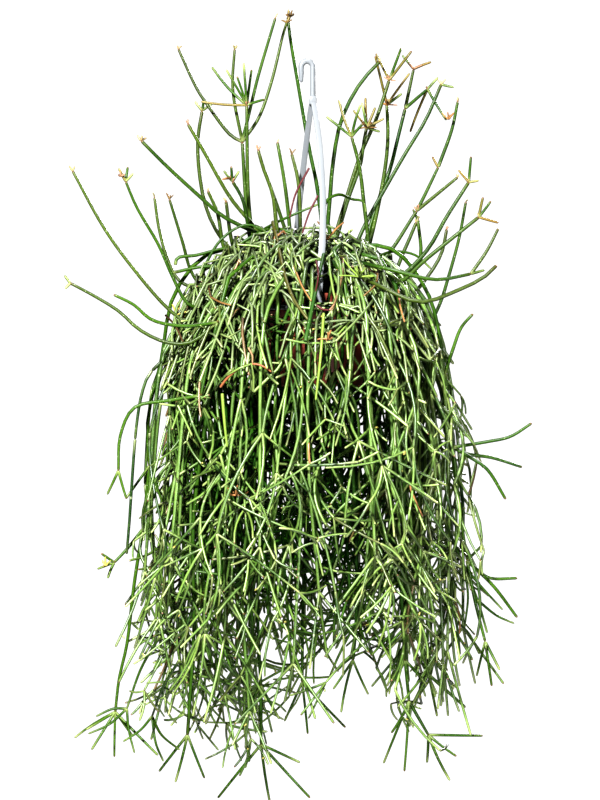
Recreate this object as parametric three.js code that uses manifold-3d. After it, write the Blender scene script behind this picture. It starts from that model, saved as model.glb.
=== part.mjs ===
// Mistletoe cactus (Rhipsalis) growing in a 15 cm pot that hangs in a plastic hanger.
// Millimetres, +Z up, the front towards -Y. The origin is the inside top of the hook, where it bears on its
// rail.
import * as THREE from "three";
import { mergeVertices } from "three/addons/utils/BufferGeometryUtils.js";
import Module from "manifold-3d";

// ---------------------------------------------------------------- driving dimensions

const POT = {
  rimTop: -241,
  rimRadius: 75,
  rimHeight: 11.6,
  wallRadius: 71.6, // outside, just under the rim
  footRadius: 57,
  height: 94,
  wall: 2,
  floor: 2.5,
  chamfer: 0.8,
  segments: 32,
};

const SOIL = { top: -248, gap: 0.3 };

const HANGER = {
  rodRadius: 3,
  rodSides: 8,
  hookInside: 3, // radius of the hook's inner bend
  hookSteps: 8,
  hookStraight: 6, // from the bend down to the hook's tip
  hookTip: -17.5,
  shankEnd: -38,
  collar: [8, 7.4, 9],
  ringInside: 72.6,
  ringOutside: 78,
  ringHeight: 5,
  legThickness: 2.4,
  legTop: 5.4, // width under the collar
  legFoot: 7.6,
  legSteps: 12,
  keepOff: 3.4, // half a leg's width, which stems stay clear of
};

// Every stem grows from a crown: a short five-sided stub that stands in a plain hole in the soil.
const CROWN = {
  bottom: -264,
  top: -242,
  sunk: 3, // how far under the crown's top its stems begin
  sprayRadius: 4,
  clumpRadius: 5.4,
  sides: 5,
  holeGap: 0.35,
};

const STEM = {
  sides: 3,
  corner: 1.2, // a three-sided stem's corner stands this much further out than the round stem's skin
  shoot: 2.3,
  arm: 1.9,
  hanging: 2.1,
  twig: 1.5,
  neck: 0.8, // a twig or arm is this thin where it joins its stem
  rooted: 0.3, // how far back inside its stem a twig begins
  taper: 0.78,
  tipLength: 1.6,
  stepsPerPoint: 1.1,
  tipDepth: 0.9, // share of a spray twig's length that its end may lie forwards or backwards, both together
  clear: 0.5, // least distance between stems of different nodes
};

// Least distances from a stem's middle line to the pot: over its rim, outside the ring, inside its wall and
// under its foot.
const PASS = { over: 5, outside: 4, inside: 4, under: 5 };

// Hanging clumps: a ring near the pot's wall and a ring halfway in. Their stems hang between `fallMin` and
// `fallMax` from the pot's axis.
const CLUMP_RINGS = [
  { count: 16, radius: 60, start: 11.25, step: 22.5, stems: 3, fallMin: 92, fallMax: 152 },
  { count: 8, radius: 30, start: 11.25, step: 45, stems: 3, fallMin: 122, fallMax: 162 },
];

// The mound of stems over the pot: its height at its middle, and how far it has come down at `radius`.
const MOUND = { top: -188, fall: 105, radius: 155, power: 2.6 };

// How a hanging stem runs.
const HANG = {
  leave: 0.13, // shares of the way out where it has left the crown, lies on the mound, and turns down
  crest: 0.45,
  turn: 0.84,
  lift: 20, // height over the soil as it leaves the crown
  depth: 20, // how far under the top of the mound it may run
  shoulderDrop: 14, // how far under the mound it begins to hang
  leftward: 12, // how far the whole curtain hangs to the left of the pot
  bend: 150, // length between the points where it sways
  swayTop: 3,
  sway: 9,
  spread: 0.13, // share by which its foot hangs further out than its shoulder
  spreadOver: 130,
  highestEnd: -400,
  overEdge: 62, // room for the twigs at its end
  longer: 0.55, // under 1, more of the stems are long
};

const TWIG = { leanMin: 14, leanMax: 52, lengthMin: 40, lengthMax: 90, turn: 0.9 };

// Whorls along a hanging stem: how far along, how many twigs, and the share of the stems that have it.
const WHORLS = [
  { at: 0.66, twigs: 1, share: 0.2 },
  { at: 1, twigs: 3, share: 1 },
];

// How often a stem or twig is drawn again when it is not clear of what is there. A stem swings further to the
// side with each try, in shares of the ring's step.
const STEM_TRIES = 40;
const TWIG_TRIES = 6;
const SWING = [0.5, 1.6];

const SEED = 20767;

const WELD = 1e-4;

// How low the curtain hangs across its width: [x, z]. It ends in two lobes with a notch between them.
const LOWER_EDGE = [
  [-215, -600],
  [-190, -665],
  [-120, -700],
  [-60, -735],
  [-15, -690],
  [20, -625],
  [62, -600],
  [92, -690],
  [130, -715],
  [160, -640],
  [215, -585],
];

// ---------------------------------------------------------------- the prominent shoots
//
// A spray stands in one hole at `root` [x, y]. Each of its shoots runs through `axis` [x, y, z], from the
// crown or from the end of the shoot numbered `from`. `tips` [x, z] are the ends of the twigs at its head.

const SPRAYS = [
  {
    name: "spray_left_crown",
    root: [-41.6, 17.2],
    shoots: [
      {
        axis: [[-55, 16, -190], [-61, 14, -141], [-63, 12, -41]],
        tips: [[-100, 1], [-84, -6], [-73, -12], [-66, 2], [-58, -3], [-111, -37], [-44, -35]],
      },
      { axis: [[-58, 25, -190], [-64, 27, -141], [-68, 28, -78]], tips: [] },
      { from: 1, axis: [[-80, 31, -71], [-105, 36, -38], [-116, 39, -21], [-136, 44, 22]], tips: [] },
      { from: 1, axis: [[-78, 29, -22], [-76, 30, 20]], tips: [] },
      { from: 1, axis: [[-51, 31, -53], [-37, 34, -13], [-25, 38, 37], [-21, 40, 50]], tips: [[-17, 57]] },
      { from: 1, axis: [[-57, 24, -33], [-52, 22, -13], [-33, 18, 51]], tips: [] },
    ],
  },
  {
    name: "spray_left_back",
    root: [-31.8, 31.8],
    shoots: [
      {
        axis: [[-64, 42, -206], [-90, 48, -179], [-108, 52, -141], [-116, 54, -77], [-111, 54, -42]],
        tips: [[-119, -32], [-109, -29], [-100, -35]],
      },
    ],
  },
  {
    name: "spray_left_long",
    root: [-15, 0],
    shoots: [
      {
        axis: [
          [-19, -4, -212],
          [-38, -9, -183],
          [-60, -12, -173],
          [-88, -16, -159],
          [-110, -18, -140],
          [-145, -20, -108],
          [-171, -22, -82],
        ],
        tips: [],
      },
      { axis: [[-30, 2, -205], [-55, 2, -169], [-79, 2, -140], [-105, 2, -95], [-124, 2, -62]], tips: [] },
    ],
  },
  {
    name: "spray_left_fan",
    root: [-45, 0],
    shoots: [
      { axis: [[-56, 1, -238], [-75, 2, -216], [-87, 1, -189], [-93, -1, -155], [-103, -4, -132]], tips: [] },
      { axis: [[-60, 0, -228], [-77, -4, -189], [-84, -12, -143]], tips: [] },
      {
        axis: [[-53, -2, -220], [-61, -6, -170], [-67, -20, -141], [-77, -24, -124]],
        tips: [[-86, -113], [-78, -109], [-70, -113]],
      },
    ],
  },
  {
    name: "spray_left_out",
    root: [-41.6, -17.2],
    shoots: [
      { axis: [[-55, -30, -222], [-84, -48, -224], [-104, -58, -258]], tips: [] },
      {
        from: 0,
        axis: [[-112, -64, -330], [-121, -67, -400], [-132, -68, -452]],
        tips: [[-148, -492], [-124, -500]],
      },
      {
        from: 0,
        axis: [[-122, -58, -270], [-140, -56, -258], [-180, -50, -212], [-208, -46, -173], [-240, -42, -115]],
        tips: [],
      },
      {
        from: 0,
        axis: [[-121, -66, -252], [-136, -72, -225], [-150, -76, -193], [-172, -80, -155], [-183, -82, -129]],
        tips: [[-190, -116], [-181, -114], [-175, -121]],
      },
    ],
  },
  {
    name: "spray_left_side",
    root: [-29.4, 5.9],
    shoots: [
      { axis: [[-50, 4, -210], [-84, 12, -211], [-108, 20, -236]], tips: [] },
      {
        from: 0,
        axis: [[-124, 28, -290], [-130, 30, -360], [-138, 32, -430]],
        tips: [[-160, -470], [-128, -478]],
      },
      { from: 0, axis: [[-122, 20, -213], [-130, 18, -185], [-144, 16, -139]], tips: [] },
      { from: 0, axis: [[-134, 30, -224], [-146, 34, -203], [-156, 38, -169], [-161, 40, -135]], tips: [] },
    ],
  },
  {
    name: "spray_left_low",
    root: [-31.8, -31.8],
    shoots: [
      { axis: [[-44, -54, -222], [-66, -88, -230], [-90, -104, -272]], tips: [] },
      { from: 0, axis: [[-106, -114, -345]], tips: [] },
      {
        from: 0,
        axis: [
          [-116, -108, -292],
          [-140, -104, -292],
          [-168, -100, -279],
          [-188, -96, -261],
          [-212, -92, -246],
          [-238, -90, -232],
        ],
        tips: [[-244, -224], [-243, -238]],
      },
      {
        from: 0,
        axis: [[-122, -118, -276], [-154, -124, -270], [-172, -124, -255], [-192, -124, -245]],
        tips: [],
      },
      {
        from: 1,
        axis: [[-138, -116, -350], [-172, -116, -357], [-186, -114, -385], [-188, -112, -420]],
        tips: [[-200, -444], [-180, -448]],
      },
    ],
  },
  {
    name: "spray_left_edge",
    root: [-24.9, -16.7],
    shoots: [
      {
        axis: [
          [-52, -18, -197],
          [-102, -14, -198],
          [-138, -4, -240],
          [-152, 4, -309],
          [-166, 4, -370],
          [-164, 4, -418],
        ],
        tips: [[-188, -452], [-150, -458]],
      },
      { from: 0, axis: [[-171, 4, -484]], tips: [] },
      {
        from: 1,
        axis: [[-186, -4, -503], [-200, -8, -518]],
        tips: [[-218, -525], [-213, -508], [-206, -534]],
      },
      {
        from: 1,
        axis: [[-180, 6, -540], [-188, 8, -605], [-196, 8, -640], [-200, 8, -675]],
        tips: [[-244, -704], [-231, -694], [-224, -713], [-201, -722], [-182, -701], [-154, -717]],
      },
    ],
  },
  {
    name: "hanging_left_lobe",
    root: [-17.2, -41.6],
    shoots: [
      {
        axis: [
          [-40, -64, -204],
          [-72, -84, -214],
          [-88, -94, -262],
          [-100, -97, -360],
          [-114, -96, -470],
          [-114, -84, -580],
          [-121, -74, -688],
        ],
        tips: [[-151, -728], [-104, -733], [-134, -738]],
      },
    ],
  },
  {
    name: "hanging_lowest",
    root: [0, -45],
    shoots: [
      {
        axis: [
          [-8, -66, -212],
          [-20, -92, -222],
          [-30, -104, -262],
          [-40, -106, -360],
          [-46, -98, -470],
          [-50, -84, -560],
          [-47, -66, -639],
        ],
        tips: [[-68, -676], [-28, -672]],
      },
      { from: 0, axis: [[-47, -50, -701]], tips: [[-92, -759], [-38, -766], [3, -751], [-7, -720]] },
    ],
  },
  {
    name: "hanging_back",
    root: [0, 45],
    shoots: [
      {
        axis: [
          [2, 66, -212],
          [6, 92, -222],
          [8, 104, -262],
          [4, 106, -360],
          [0, 98, -470],
          [-4, 84, -560],
          [-5, 70, -651],
        ],
        tips: [[41, -696], [1, -707], [-24, -692]],
      },
    ],
  },
  {
    name: "hanging_notch",
    root: [17.2, -41.6],
    shoots: [
      {
        axis: [
          [24, -66, -210],
          [34, -90, -222],
          [42, -100, -262],
          [44, -102, -360],
          [48, -96, -470],
          [50, -86, -560],
          [46, -78, -612],
        ],
        tips: [[26, -641], [62, -648], [34, -664]],
      },
    ],
  },
  {
    name: "hanging_right_lobe",
    root: [16.7, -24.9],
    shoots: [
      {
        axis: [
          [42, -48, -200],
          [76, -68, -208],
          [96, -76, -262],
          [98, -76, -360],
          [98, -68, -470],
          [96, -60, -560],
          [100, -52, -615],
        ],
        tips: [[80, -648], [122, -640]],
      },
      { from: 0, axis: [[104, -48, -657]], tips: [[86, -690], [79, -725], [99, -728]] },
      { from: 1, axis: [[124, -44, -692]], tips: [[180, -693], [123, -722], [145, -736], [152, -712]] },
    ],
  },
  {
    name: "hanging_right_back",
    root: [5.9, 29.4],
    shoots: [
      { axis: [[36, 36, -194], [86, 34, -202], [120, 32, -262]], tips: [] },
      {
        from: 0,
        axis: [[126, 32, -360], [128, 30, -470], [126, 28, -560], [128, 26, -638]],
        tips: [[110, -670], [136, -680]],
      },
      { from: 1, axis: [[148, 28, -656], [167, 30, -673]], tips: [] },
      {
        from: 0,
        axis: [[132, 32, -262], [140, 31, -248], [148, 30, -223], [160, 28, -179], [167, 26, -141]],
        tips: [],
      },
    ],
  },
  {
    name: "spray_right_edge",
    root: [7.5, -13],
    shoots: [
      {
        axis: [[32, -22, -198], [62, -30, -190], [92, -31, -197], [126, -31, -244], [142, -30, -322]],
        tips: [],
      },
      { from: 0, axis: [[150, -28, -398]], tips: [] },
      { from: 0, axis: [[150, -36, -296], [158, -38, -275], [170, -40, -261]], tips: [] },
      { from: 1, axis: [[186, -34, -392], [208, -38, -387], [230, -42, -373]], tips: [] },
      { from: 1, axis: [[166, -22, -405], [191, -16, -409], [223, -10, -419]], tips: [] },
      { from: 1, axis: [[167, -34, -408], [184, -40, -420], [203, -46, -451]], tips: [] },
      { from: 1, axis: [[157, -24, -460], [165, -22, -515]], tips: [[181, -499]] },
      { from: 6, axis: [[191, -28, -540], [216, -32, -573]], tips: [] },
      { from: 6, axis: [[188, -14, -533], [218, -10, -534]], tips: [] },
      { from: 6, axis: [[174, -20, -560], [184, -18, -599]], tips: [[198, -627], [176, -636], [190, -644]] },
    ],
  },
  {
    name: "shoot_right_arc",
    root: [24.9, 16.7],
    shoots: [
      {
        axis: [
          [31, 20, -213],
          [27, 21, -185],
          [22, 21, -166],
          [24, 20, -140],
          [27, 14, -103],
          [36, 6, -57],
          [56, 2, -19],
          [76, 0, 3],
        ],
        tips: [],
      },
    ],
  },
  {
    name: "shoot_right_whorl",
    root: [45, 0],
    shoots: [
      {
        axis: [[52, -12, -234], [63, -16, -208], [58, -18, -140], [54, -18, -108], [46, -18, -77]],
        tips: [[20, -56], [33, -38], [55, -46], [58, -64]],
      },
    ],
  },
  {
    name: "spray_right_mid",
    root: [15, 0],
    shoots: [
      {
        axis: [[29, -1, -188], [43, -2, -140], [56, -2, -103], [59, -2, -81], [62, -2, -66]],
        tips: [[48, -48], [57, -40], [61, -34], [71, -45], [80, -57], [76, -71]],
      },
      {
        axis: [[27, 3, -188], [41, 5, -140], [56, 7, -93], [72, 9, -57], [86, 10, -15]],
        tips: [[72, 13], [99, 20], [109, 14]],
      },
    ],
  },
  {
    name: "spray_right_tall",
    root: [41.6, 17.2],
    shoots: [
      {
        axis: [[60, 22, -204], [76, 25, -140], [83, 25, -99], [85, 25, -73], [84, 25, -39]],
        tips: [[71, 9], [108, -6], [100, -27]],
      },
      { axis: [[58, 29, -196], [75, 36, -140], [88, 40, -105], [96, 42, -73], [104, 43, -41]], tips: [] },
      { from: 1, axis: [[113, 44, 1]], tips: [[132, 9], [101, 16]] },
      { from: 1, axis: [[128, 47, -20]], tips: [[110, -64], [147, -55], [139, -8]] },
    ],
  },
  {
    name: "spray_right_lean",
    root: [29.4, -5.9],
    shoots: [
      {
        axis: [[58, 2, -172], [86, 4, -121], [104, 5, -90], [124, 6, -57], [140, 7, -20]],
        tips: [[153, -24]],
      },
      { axis: [[50, -6, -222], [78, -6, -205], [114, -8, -153]], tips: [] },
      { from: 1, axis: [[122, -9, -137], [136, -11, -108]], tips: [[130, -97]] },
      { from: 2, axis: [[150, -13, -69], [156, -14, -40]], tips: [] },
      { from: 1, axis: [[156, -18, -119]], tips: [] },
    ],
  },
  {
    name: "spray_right_pair",
    root: [41.6, -17.2],
    shoots: [
      {
        axis: [[66, -36, -228], [92, -44, -225], [122, -48, -197], [142, -50, -163], [165, -50, -127]],
        tips: [[167, -101], [175, -126], [154, -115]],
      },
      {
        axis: [[64, -38, -231], [92, -54, -231], [120, -62, -207], [150, -66, -183], [174, -68, -164]],
        tips: [[178, -144], [186, -148], [194, -170]],
      },
    ],
  },
  {
    name: "spray_right_back",
    root: [31.8, 31.8],
    shoots: [
      {
        axis: [[58, 44, -232], [88, 52, -236], [112, 58, -217], [121, 60, -197], [118, 60, -157]],
        tips: [[113, -146]],
      },
      { axis: [[56, 44, -228], [84, 46, -227], [104, 48, -189], [116, 48, -161]], tips: [] },
      {
        axis: [
          [60, 52, -234],
          [88, 66, -239],
          [110, 72, -238],
          [128, 76, -219],
          [144, 78, -193],
          [150, 78, -166],
        ],
        tips: [],
      },
    ],
  },
  {
    name: "spray_right_low",
    root: [31.8, -31.8],
    shoots: [
      { axis: [[46, -52, -212], [74, -88, -216], [128, -100, -229], [164, -94, -223]], tips: [[178, -219]] },
      { from: 0, axis: [[180, -92, -200], [192, -90, -177]], tips: [] },
      {
        axis: [
          [42, -52, -224],
          [66, -94, -232],
          [112, -114, -252],
          [150, -110, -240],
          [176, -108, -227],
          [189, -108, -215],
        ],
        tips: [],
      },
    ],
  },
  {
    name: "shoot_tallest",
    root: [17.2, 41.6],
    shoots: [
      {
        axis: [[19, 50, -204], [11, 54, -123], [3, 56, -84], [-7, 56, -27], [-19, 54, 45], [-20, 54, 58]],
        tips: [[-19, 65]],
      },
    ],
  },
  {
    name: "shoot_front",
    root: [-5.9, -29.4],
    shoots: [
      {
        axis: [
          [-11, -34, -244],
          [-21, -42, -222],
          [-31, -48, -173],
          [-35, -50, -140],
          [-45, -50, -112],
          [-50, -50, -94],
        ],
        tips: [],
      },
    ],
  },
  {
    name: "spray_centre",
    root: [-7.5, 13],
    shoots: [
      { axis: [[-17, 13, -190], [-25, 12, -165], [-33, 11, -141], [-43, 10, -113]], tips: [] },
      { axis: [[-16, 17, -190], [-20, 18, -149], [-24, 19, -118], [-31, 20, -79]], tips: [] },
      { axis: [[-7, 22, -190], [-9, 27, -121], [-16, 30, -90]], tips: [] },
    ],
  },
];

// ---------------------------------------------------------------- small helpers

const mix = (a, b, t) => a + (b - a) * t;

const point = ([x, y, z]) => new THREE.Vector3(x, y, z);

// A run of numbers between 0 and 1 that depends only on the seed and the keys.
function draws(...keys) {
  let state = SEED;
  for (const key of keys) {
    state = (Math.imul(state ^ (key + 1013904223), 1664525) + 12345) >>> 0;
    state = (state ^ (state >>> 15)) >>> 0;
  }
  return function next() {
    state = (state + 0x6d2b79f5) >>> 0;
    let t = Math.imul(state ^ (state >>> 15), 1 | state);
    t = (t + Math.imul(t ^ (t >>> 7), 61 | t)) ^ t;
    return ((t ^ (t >>> 14)) >>> 0) / 4294967296;
  };
}

// The height of a broken line [x, z] at x.
function lineAt(line, x) {
  for (let i = 1; i < line.length; i++) {
    const [x0, z0] = line[i - 1];
    const [x1, z1] = line[i];
    if (x <= x1) return mix(z0, z1, Math.max(0, (x - x0) / (x1 - x0)));
  }
  return line[line.length - 1][1];
}

// ---------------------------------------------------------------- solids

const wasm = await Module();
wasm.setup();

// The geometry with its shared corners made one and its empty faces dropped.
function welded(geometry) {
  const loose = geometry.index ? geometry.toNonIndexed() : geometry;
  const bare = new THREE.BufferGeometry().setAttribute("position", loose.getAttribute("position"));
  const merged = mergeVertices(bare, WELD);
  const faces = [];
  for (let i = 0; i < merged.index.count; i += 3) {
    const [a, b, c] = [0, 1, 2].map((k) => merged.index.getX(i + k));
    if (a !== b && b !== c && c !== a) faces.push(a, b, c);
  }
  return merged.setIndex(faces);
}

function solidFrom(geometry) {
  const { attributes, index } = welded(geometry);
  const [vertProperties, triVerts] = [attributes.position.array, new Uint32Array(index.array)];
  return new wasm.Manifold(new wasm.Mesh({ numProp: 3, vertProperties, triVerts }));
}

function geometryFrom(solid) {
  const mesh = solid.getMesh();
  const geometry = new THREE.BufferGeometry();
  geometry.setAttribute("position", new THREE.BufferAttribute(mesh.vertProperties.slice(), 3));
  geometry.setIndex(new THREE.BufferAttribute(mesh.triVerts.slice(), 1));
  geometry.computeVertexNormals();
  return geometry;
}

const joined = (solids) => solids.reduce((whole, next) => whole.add(next));

// A profile [radius, height] turned about the Z axis. It runs anticlockwise and ends on the axis or where it
// starts.
function turned(profile, segments) {
  const outline = profile.map(([radius, height]) => new THREE.Vector2(radius, height));
  return new THREE.LatheGeometry(outline, segments).rotateX(Math.PI / 2);
}

// Bends a unit post (a box or cylinder geometry, one long along Y) along the points. Its section is scaled by
// size(t) = [across, deep]; `side` is the first section's across direction, carried along without twist.
function bent(straight, points, size, side) {
  const post = welded(straight);
  const last = points.length - 1;
  const tangents = points.map((p, i) =>
    points[Math.min(i + 1, last)].clone().sub(points[Math.max(i - 1, 0)]).normalize(),
  );
  const across = [];
  let carried = side.clone();
  for (const tangent of tangents) {
    carried = carried.clone().addScaledVector(tangent, -carried.dot(tangent)).normalize();
    across.push(carried);
  }
  const place = post.getAttribute("position");
  for (let i = 0; i < place.count; i++) {
    const at = Math.round((place.getY(i) + 0.5) * last);
    const [wide, deep] = size(at / last);
    const depth = across[at].clone().cross(tangents[at]);
    const centre = Math.abs(place.getX(i)) + Math.abs(place.getZ(i)) < WELD;
    const spot = points[at]
      .clone()
      .addScaledVector(across[at], place.getX(i) * wide)
      .addScaledVector(depth, place.getZ(i) * deep);
    if (centre && at === last && size.point) spot.addScaledVector(tangents[at], size.point);
    place.setXYZ(i, spot.x, spot.y, spot.z);
  }
  return post;
}

// A stem of few sides along the points, tapering to a short point. `neck` is its radius where it joins
// another stem.
function stemSolid({ points, root, tip, neck }, sides = STEM.sides) {
  const post = new THREE.CylinderGeometry(1, 1, 1, sides, points.length - 1);
  const corner = sides === STEM.sides ? STEM.corner : 1;
  const size = (t) => Array(2).fill((t === 0 && neck ? neck : mix(root, tip, t)) * corner);
  size.point = STEM.tipLength;
  const start = points[1].clone().sub(points[0]).normalize();
  const side = Math.abs(start.x) < 0.8 ? new THREE.Vector3(1, 0, 0) : new THREE.Vector3(0, 1, 0);
  return solidFrom(bent(post, points, size, side));
}

// ---------------------------------------------------------------- pot, soil and hanger

function potSolid() {
  const { rimTop, rimRadius, rimHeight, wallRadius, footRadius, height, wall, floor, chamfer } = POT;
  const foot = rimTop - height;
  const under = rimTop - rimHeight;
  return solidFrom(
    turned(
      [
        [0, foot],
        [footRadius - chamfer, foot],
        [footRadius, foot + chamfer],
        [wallRadius, under],
        [rimRadius - chamfer, under],
        [rimRadius, under + chamfer],
        [rimRadius, rimTop - chamfer],
        [rimRadius - chamfer, rimTop],
        [wallRadius - wall, rimTop],
        [wallRadius - wall, under],
        [footRadius - wall, foot + floor],
        [0, foot + floor],
      ],
      POT.segments,
    ),
  );
}

// A five-sided post round [x, y] from one height to another, for a crown and for the hole it stands in.
function postSolid([x, y], radius, bottom, top) {
  const post = new THREE.CylinderGeometry(radius, radius, top - bottom, CROWN.sides);
  return solidFrom(post.rotateX(Math.PI / 2).translate(x, y, (bottom + top) / 2));
}

function soilSolid(roots) {
  const foot = POT.rimTop - POT.height;
  const bottom = foot + POT.floor + SOIL.gap;
  const less = POT.wall + SOIL.gap;
  const fill = solidFrom(
    turned(
      [
        [0, bottom],
        [POT.footRadius - less, bottom],
        [POT.wallRadius - less, SOIL.top],
        [0, SOIL.top],
      ],
      POT.segments,
    ),
  );
  const holes = roots.map(({ root, radius }) =>
    postSolid(root, radius + CROWN.holeGap, CROWN.bottom - CROWN.holeGap, CROWN.top),
  );
  return fill.subtract(joined(holes));
}

const legFront = [
  [5.8, 0, -35],
  [8.5, -8, -52],
  [12.5, -23, -82],
  [14.8, -38, -115],
  [16.1, -54, -152],
  [15.2, -67, -192],
  [12.9, -74.4, -222],
  [11.8, -76.4, -242],
  [11.8, -76.4, -255],
].map(point);

const legBack = [
  [5.8, 0, -35],
  [3, 8, -52],
  [-1, 23, -82],
  [-5, 38, -115],
  [-9, 54, -152],
  [-11.5, 67, -192],
  [-12, 74.4, -222],
  [-11.8, 76.4, -242],
  [-11.8, 76.4, -255],
].map(point);

function hookPath() {
  const bend = HANGER.hookInside + HANGER.rodRadius;
  const centre = -HANGER.hookInside;
  const path = [point([-bend, 0, HANGER.hookTip]), point([-bend, 0, centre - HANGER.hookStraight])];
  for (let i = 0; i <= HANGER.hookSteps; i++) {
    const turn = (Math.PI * i) / HANGER.hookSteps;
    path.push(point([-bend * Math.cos(turn), 0, centre + bend * Math.sin(turn)]));
  }
  path.push(point([bend, 0, HANGER.shankEnd]));
  return path;
}

function hangerSolid() {
  const { rodRadius, hookInside, shankEnd } = HANGER;
  const rod = stemSolid({ points: hookPath(), root: rodRadius, tip: rodRadius }, HANGER.rodSides);
  const collar = solidFrom(
    new THREE.BoxGeometry(...HANGER.collar).translate(hookInside + rodRadius, 0, shankEnd),
  );
  const ringTop = POT.rimTop - POT.rimHeight - SOIL.gap;
  const ring = solidFrom(
    turned(
      [
        [HANGER.ringInside, ringTop - HANGER.ringHeight],
        [HANGER.ringOutside, ringTop - HANGER.ringHeight],
        [HANGER.ringOutside, ringTop],
        [HANGER.ringInside, ringTop],
        [HANGER.ringInside, ringTop - HANGER.ringHeight],
      ],
      POT.segments,
    ),
  );
  const legs = [legFront, legBack].map((leg) => {
    const strap = new THREE.BoxGeometry(1, 1, 1, 1, HANGER.legSteps, 1);
    const size = (t) => [mix(HANGER.legTop, HANGER.legFoot, t), HANGER.legThickness];
    return solidFrom(bent(strap, smooth(leg, HANGER.legSteps), size, new THREE.Vector3(1, 0, 0)));
  });
  return joined([ring, ...legs, collar, rod]);
}

// ---------------------------------------------------------------- keeping stems of different nodes apart

// Every stem placed so far, as short straight pieces: { node, a, b, radius }.
const taken = [];

function segmentGap(a, b, c, d) {
  const u = b.clone().sub(a);
  const v = d.clone().sub(c);
  const w = a.clone().sub(c);
  const uu = u.dot(u);
  const vv = v.dot(v);
  const uv = u.dot(v);
  const uw = u.dot(w);
  const vw = v.dot(w);
  const den = uu * vv - uv * uv;
  let s = den > 1e-9 ? THREE.MathUtils.clamp((uv * vw - vv * uw) / den, 0, 1) : 0;
  const t = THREE.MathUtils.clamp((uv * s + vw) / vv, 0, 1);
  s = THREE.MathUtils.clamp((uv * t - uw) / uu, 0, 1);
  return w.addScaledVector(u, s).addScaledVector(v, -t).length();
}

// The first pieces of a long stem may touch the others of its node, near their crown.
const CROWDED = 3;

// The straight pieces of a stem, with the radius of its corners. `free` are those well away from their crown.
function piecesOf(node, stem, points, radius) {
  return points.slice(1).map((b, i) => ({
    node,
    stem,
    a: points[i],
    b,
    radius: radius * STEM.corner,
    middle: points[i].clone().add(b).multiplyScalar(0.5),
    half: points[i].distanceTo(b) / 2,
    free: i >= CROWDED || points.length <= CROWDED + 1,
  }));
}

function clash(piece, other) {
  const reach = piece.radius + other.radius + STEM.clear;
  if (piece.middle.distanceTo(other.middle) > piece.half + other.half + reach) return false;
  return segmentGap(piece.a, piece.b, other.a, other.b) < reach;
}

// Stems pass over the rim or hang outside the pot and its ring.
function clearOfPot(p) {
  const radius = Math.hypot(p.x, p.y);
  const over = p.z > POT.rimTop + PASS.over;
  const outside = radius > HANGER.ringOutside + PASS.outside;
  const inside = radius < POT.wallRadius - POT.wall - PASS.inside && p.z > SOIL.top;
  const under = p.z < POT.rimTop - POT.height - PASS.under;
  return over || outside || inside || under;
}

// Stems of one node may touch near their crown, and a twig touches the stem that bears it.
function apart(piece, other) {
  if (piece.node === other.node && (piece.stem === other.stem || !piece.free || !other.free)) return true;
  return !clash(piece, other);
}

function isClear(pieces) {
  return pieces.every(
    (piece) =>
      clearOfPot(piece.a) &&
      clearOfPot(piece.b) &&
      clearOfPot(piece.middle) &&
      taken.every((other) => apart(piece, other)),
  );
}

// ---------------------------------------------------------------- stems and twigs

// A smooth line through the points, cut in `steps` pieces.
const smooth = (points, steps) => new THREE.CatmullRomCurve3(points).getPoints(steps);

// A spray's shoots and twigs, as { points, root, tip } with the radii at both ends.
function sprayStems(spray, index) {
  const base = point([...spray.root, CROWN.top - CROWN.sunk]);
  const ends = [];
  const stems = [];
  spray.shoots.forEach((shoot, number) => {
    const start = shoot.from === undefined ? base : ends[shoot.from];
    const knots = [start, ...shoot.axis.map(point)];
    const end = knots[knots.length - 1];
    const before = knots[knots.length - 2];
    const fromCrown = shoot.from === undefined;
    const thick = fromCrown ? STEM.shoot : STEM.arm;
    const steps = knots.length === 2 ? 1 : Math.round((knots.length - 1) * STEM.stepsPerPoint);
    ends.push(end);
    const shootStem = {
      points: smooth(knots, steps),
      root: thick,
      tip: thick * STEM.taper,
      neck: fromCrown ? undefined : STEM.neck,
    };
    stems.push(shootStem);
    const heading = end.clone().sub(before).normalize();
    shoot.tips.forEach(([x, z], k) => {
      const next = draws(index, number, k);
      const reach = Math.hypot(x - end.x, z - end.z);
      const tip = point([x, end.y + (next() - 0.5) * STEM.tipDepth * reach, z]);
      if (k === 0) shootStem.points.push(tip);
      else stems.push(twigStem([end.clone().addScaledVector(heading, -STEM.rooted), tip]));
    });
  });
  return stems;
}

// The height of the mound at a distance from its middle.
const moundHeight = (radius) => MOUND.top - MOUND.fall * Math.pow(radius / MOUND.radius, MOUND.power);

// The axis of a stem that stands in its crown, bows over the rim towards `heading` (radians) and hangs at the
// distance `fall` from the pot's axis down to where the curtain ends.
function hangingAxis(root, heading, fall, next) {
  const foot = point([...root, CROWN.top - CROWN.sunk]);
  const hang = new THREE.Vector3(Math.cos(heading) * fall - HANG.leftward, Math.sin(heading) * fall, 0);
  const out = hang.clone().sub(foot).setZ(0);
  const at = (share) => foot.clone().addScaledVector(out, share);
  const depth = HANG.depth * next();
  const onMound = (spot) => spot.setZ(moundHeight(Math.hypot(spot.x, spot.y)) - depth);
  const end = mix(HANG.highestEnd, lineAt(LOWER_EDGE, hang.x) + HANG.overEdge, Math.pow(next(), HANG.longer));
  const leaving = at(HANG.leave).setZ(SOIL.top + HANG.lift);
  const knots = [foot, leaving, onMound(at(HANG.crest)), onMound(at(HANG.turn))];
  const top = moundHeight(fall) - depth - HANG.shoulderDrop;
  const bends = Math.max(1, Math.round((top - end) / HANG.bend));
  for (let i = 0; i <= bends; i++) {
    const z = mix(top, end, i / bends);
    const spread = 1 + HANG.spread * (1 - Math.exp((z - top) / HANG.spreadOver));
    const sway = i ? HANG.sway : HANG.swayTop;
    const [dx, dy] = [0, 0].map(() => (next() * 2 - 1) * sway);
    knots.push(point([hang.x * spread + dx, hang.y * spread + dy, z]));
  }
  return knots;
}

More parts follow.
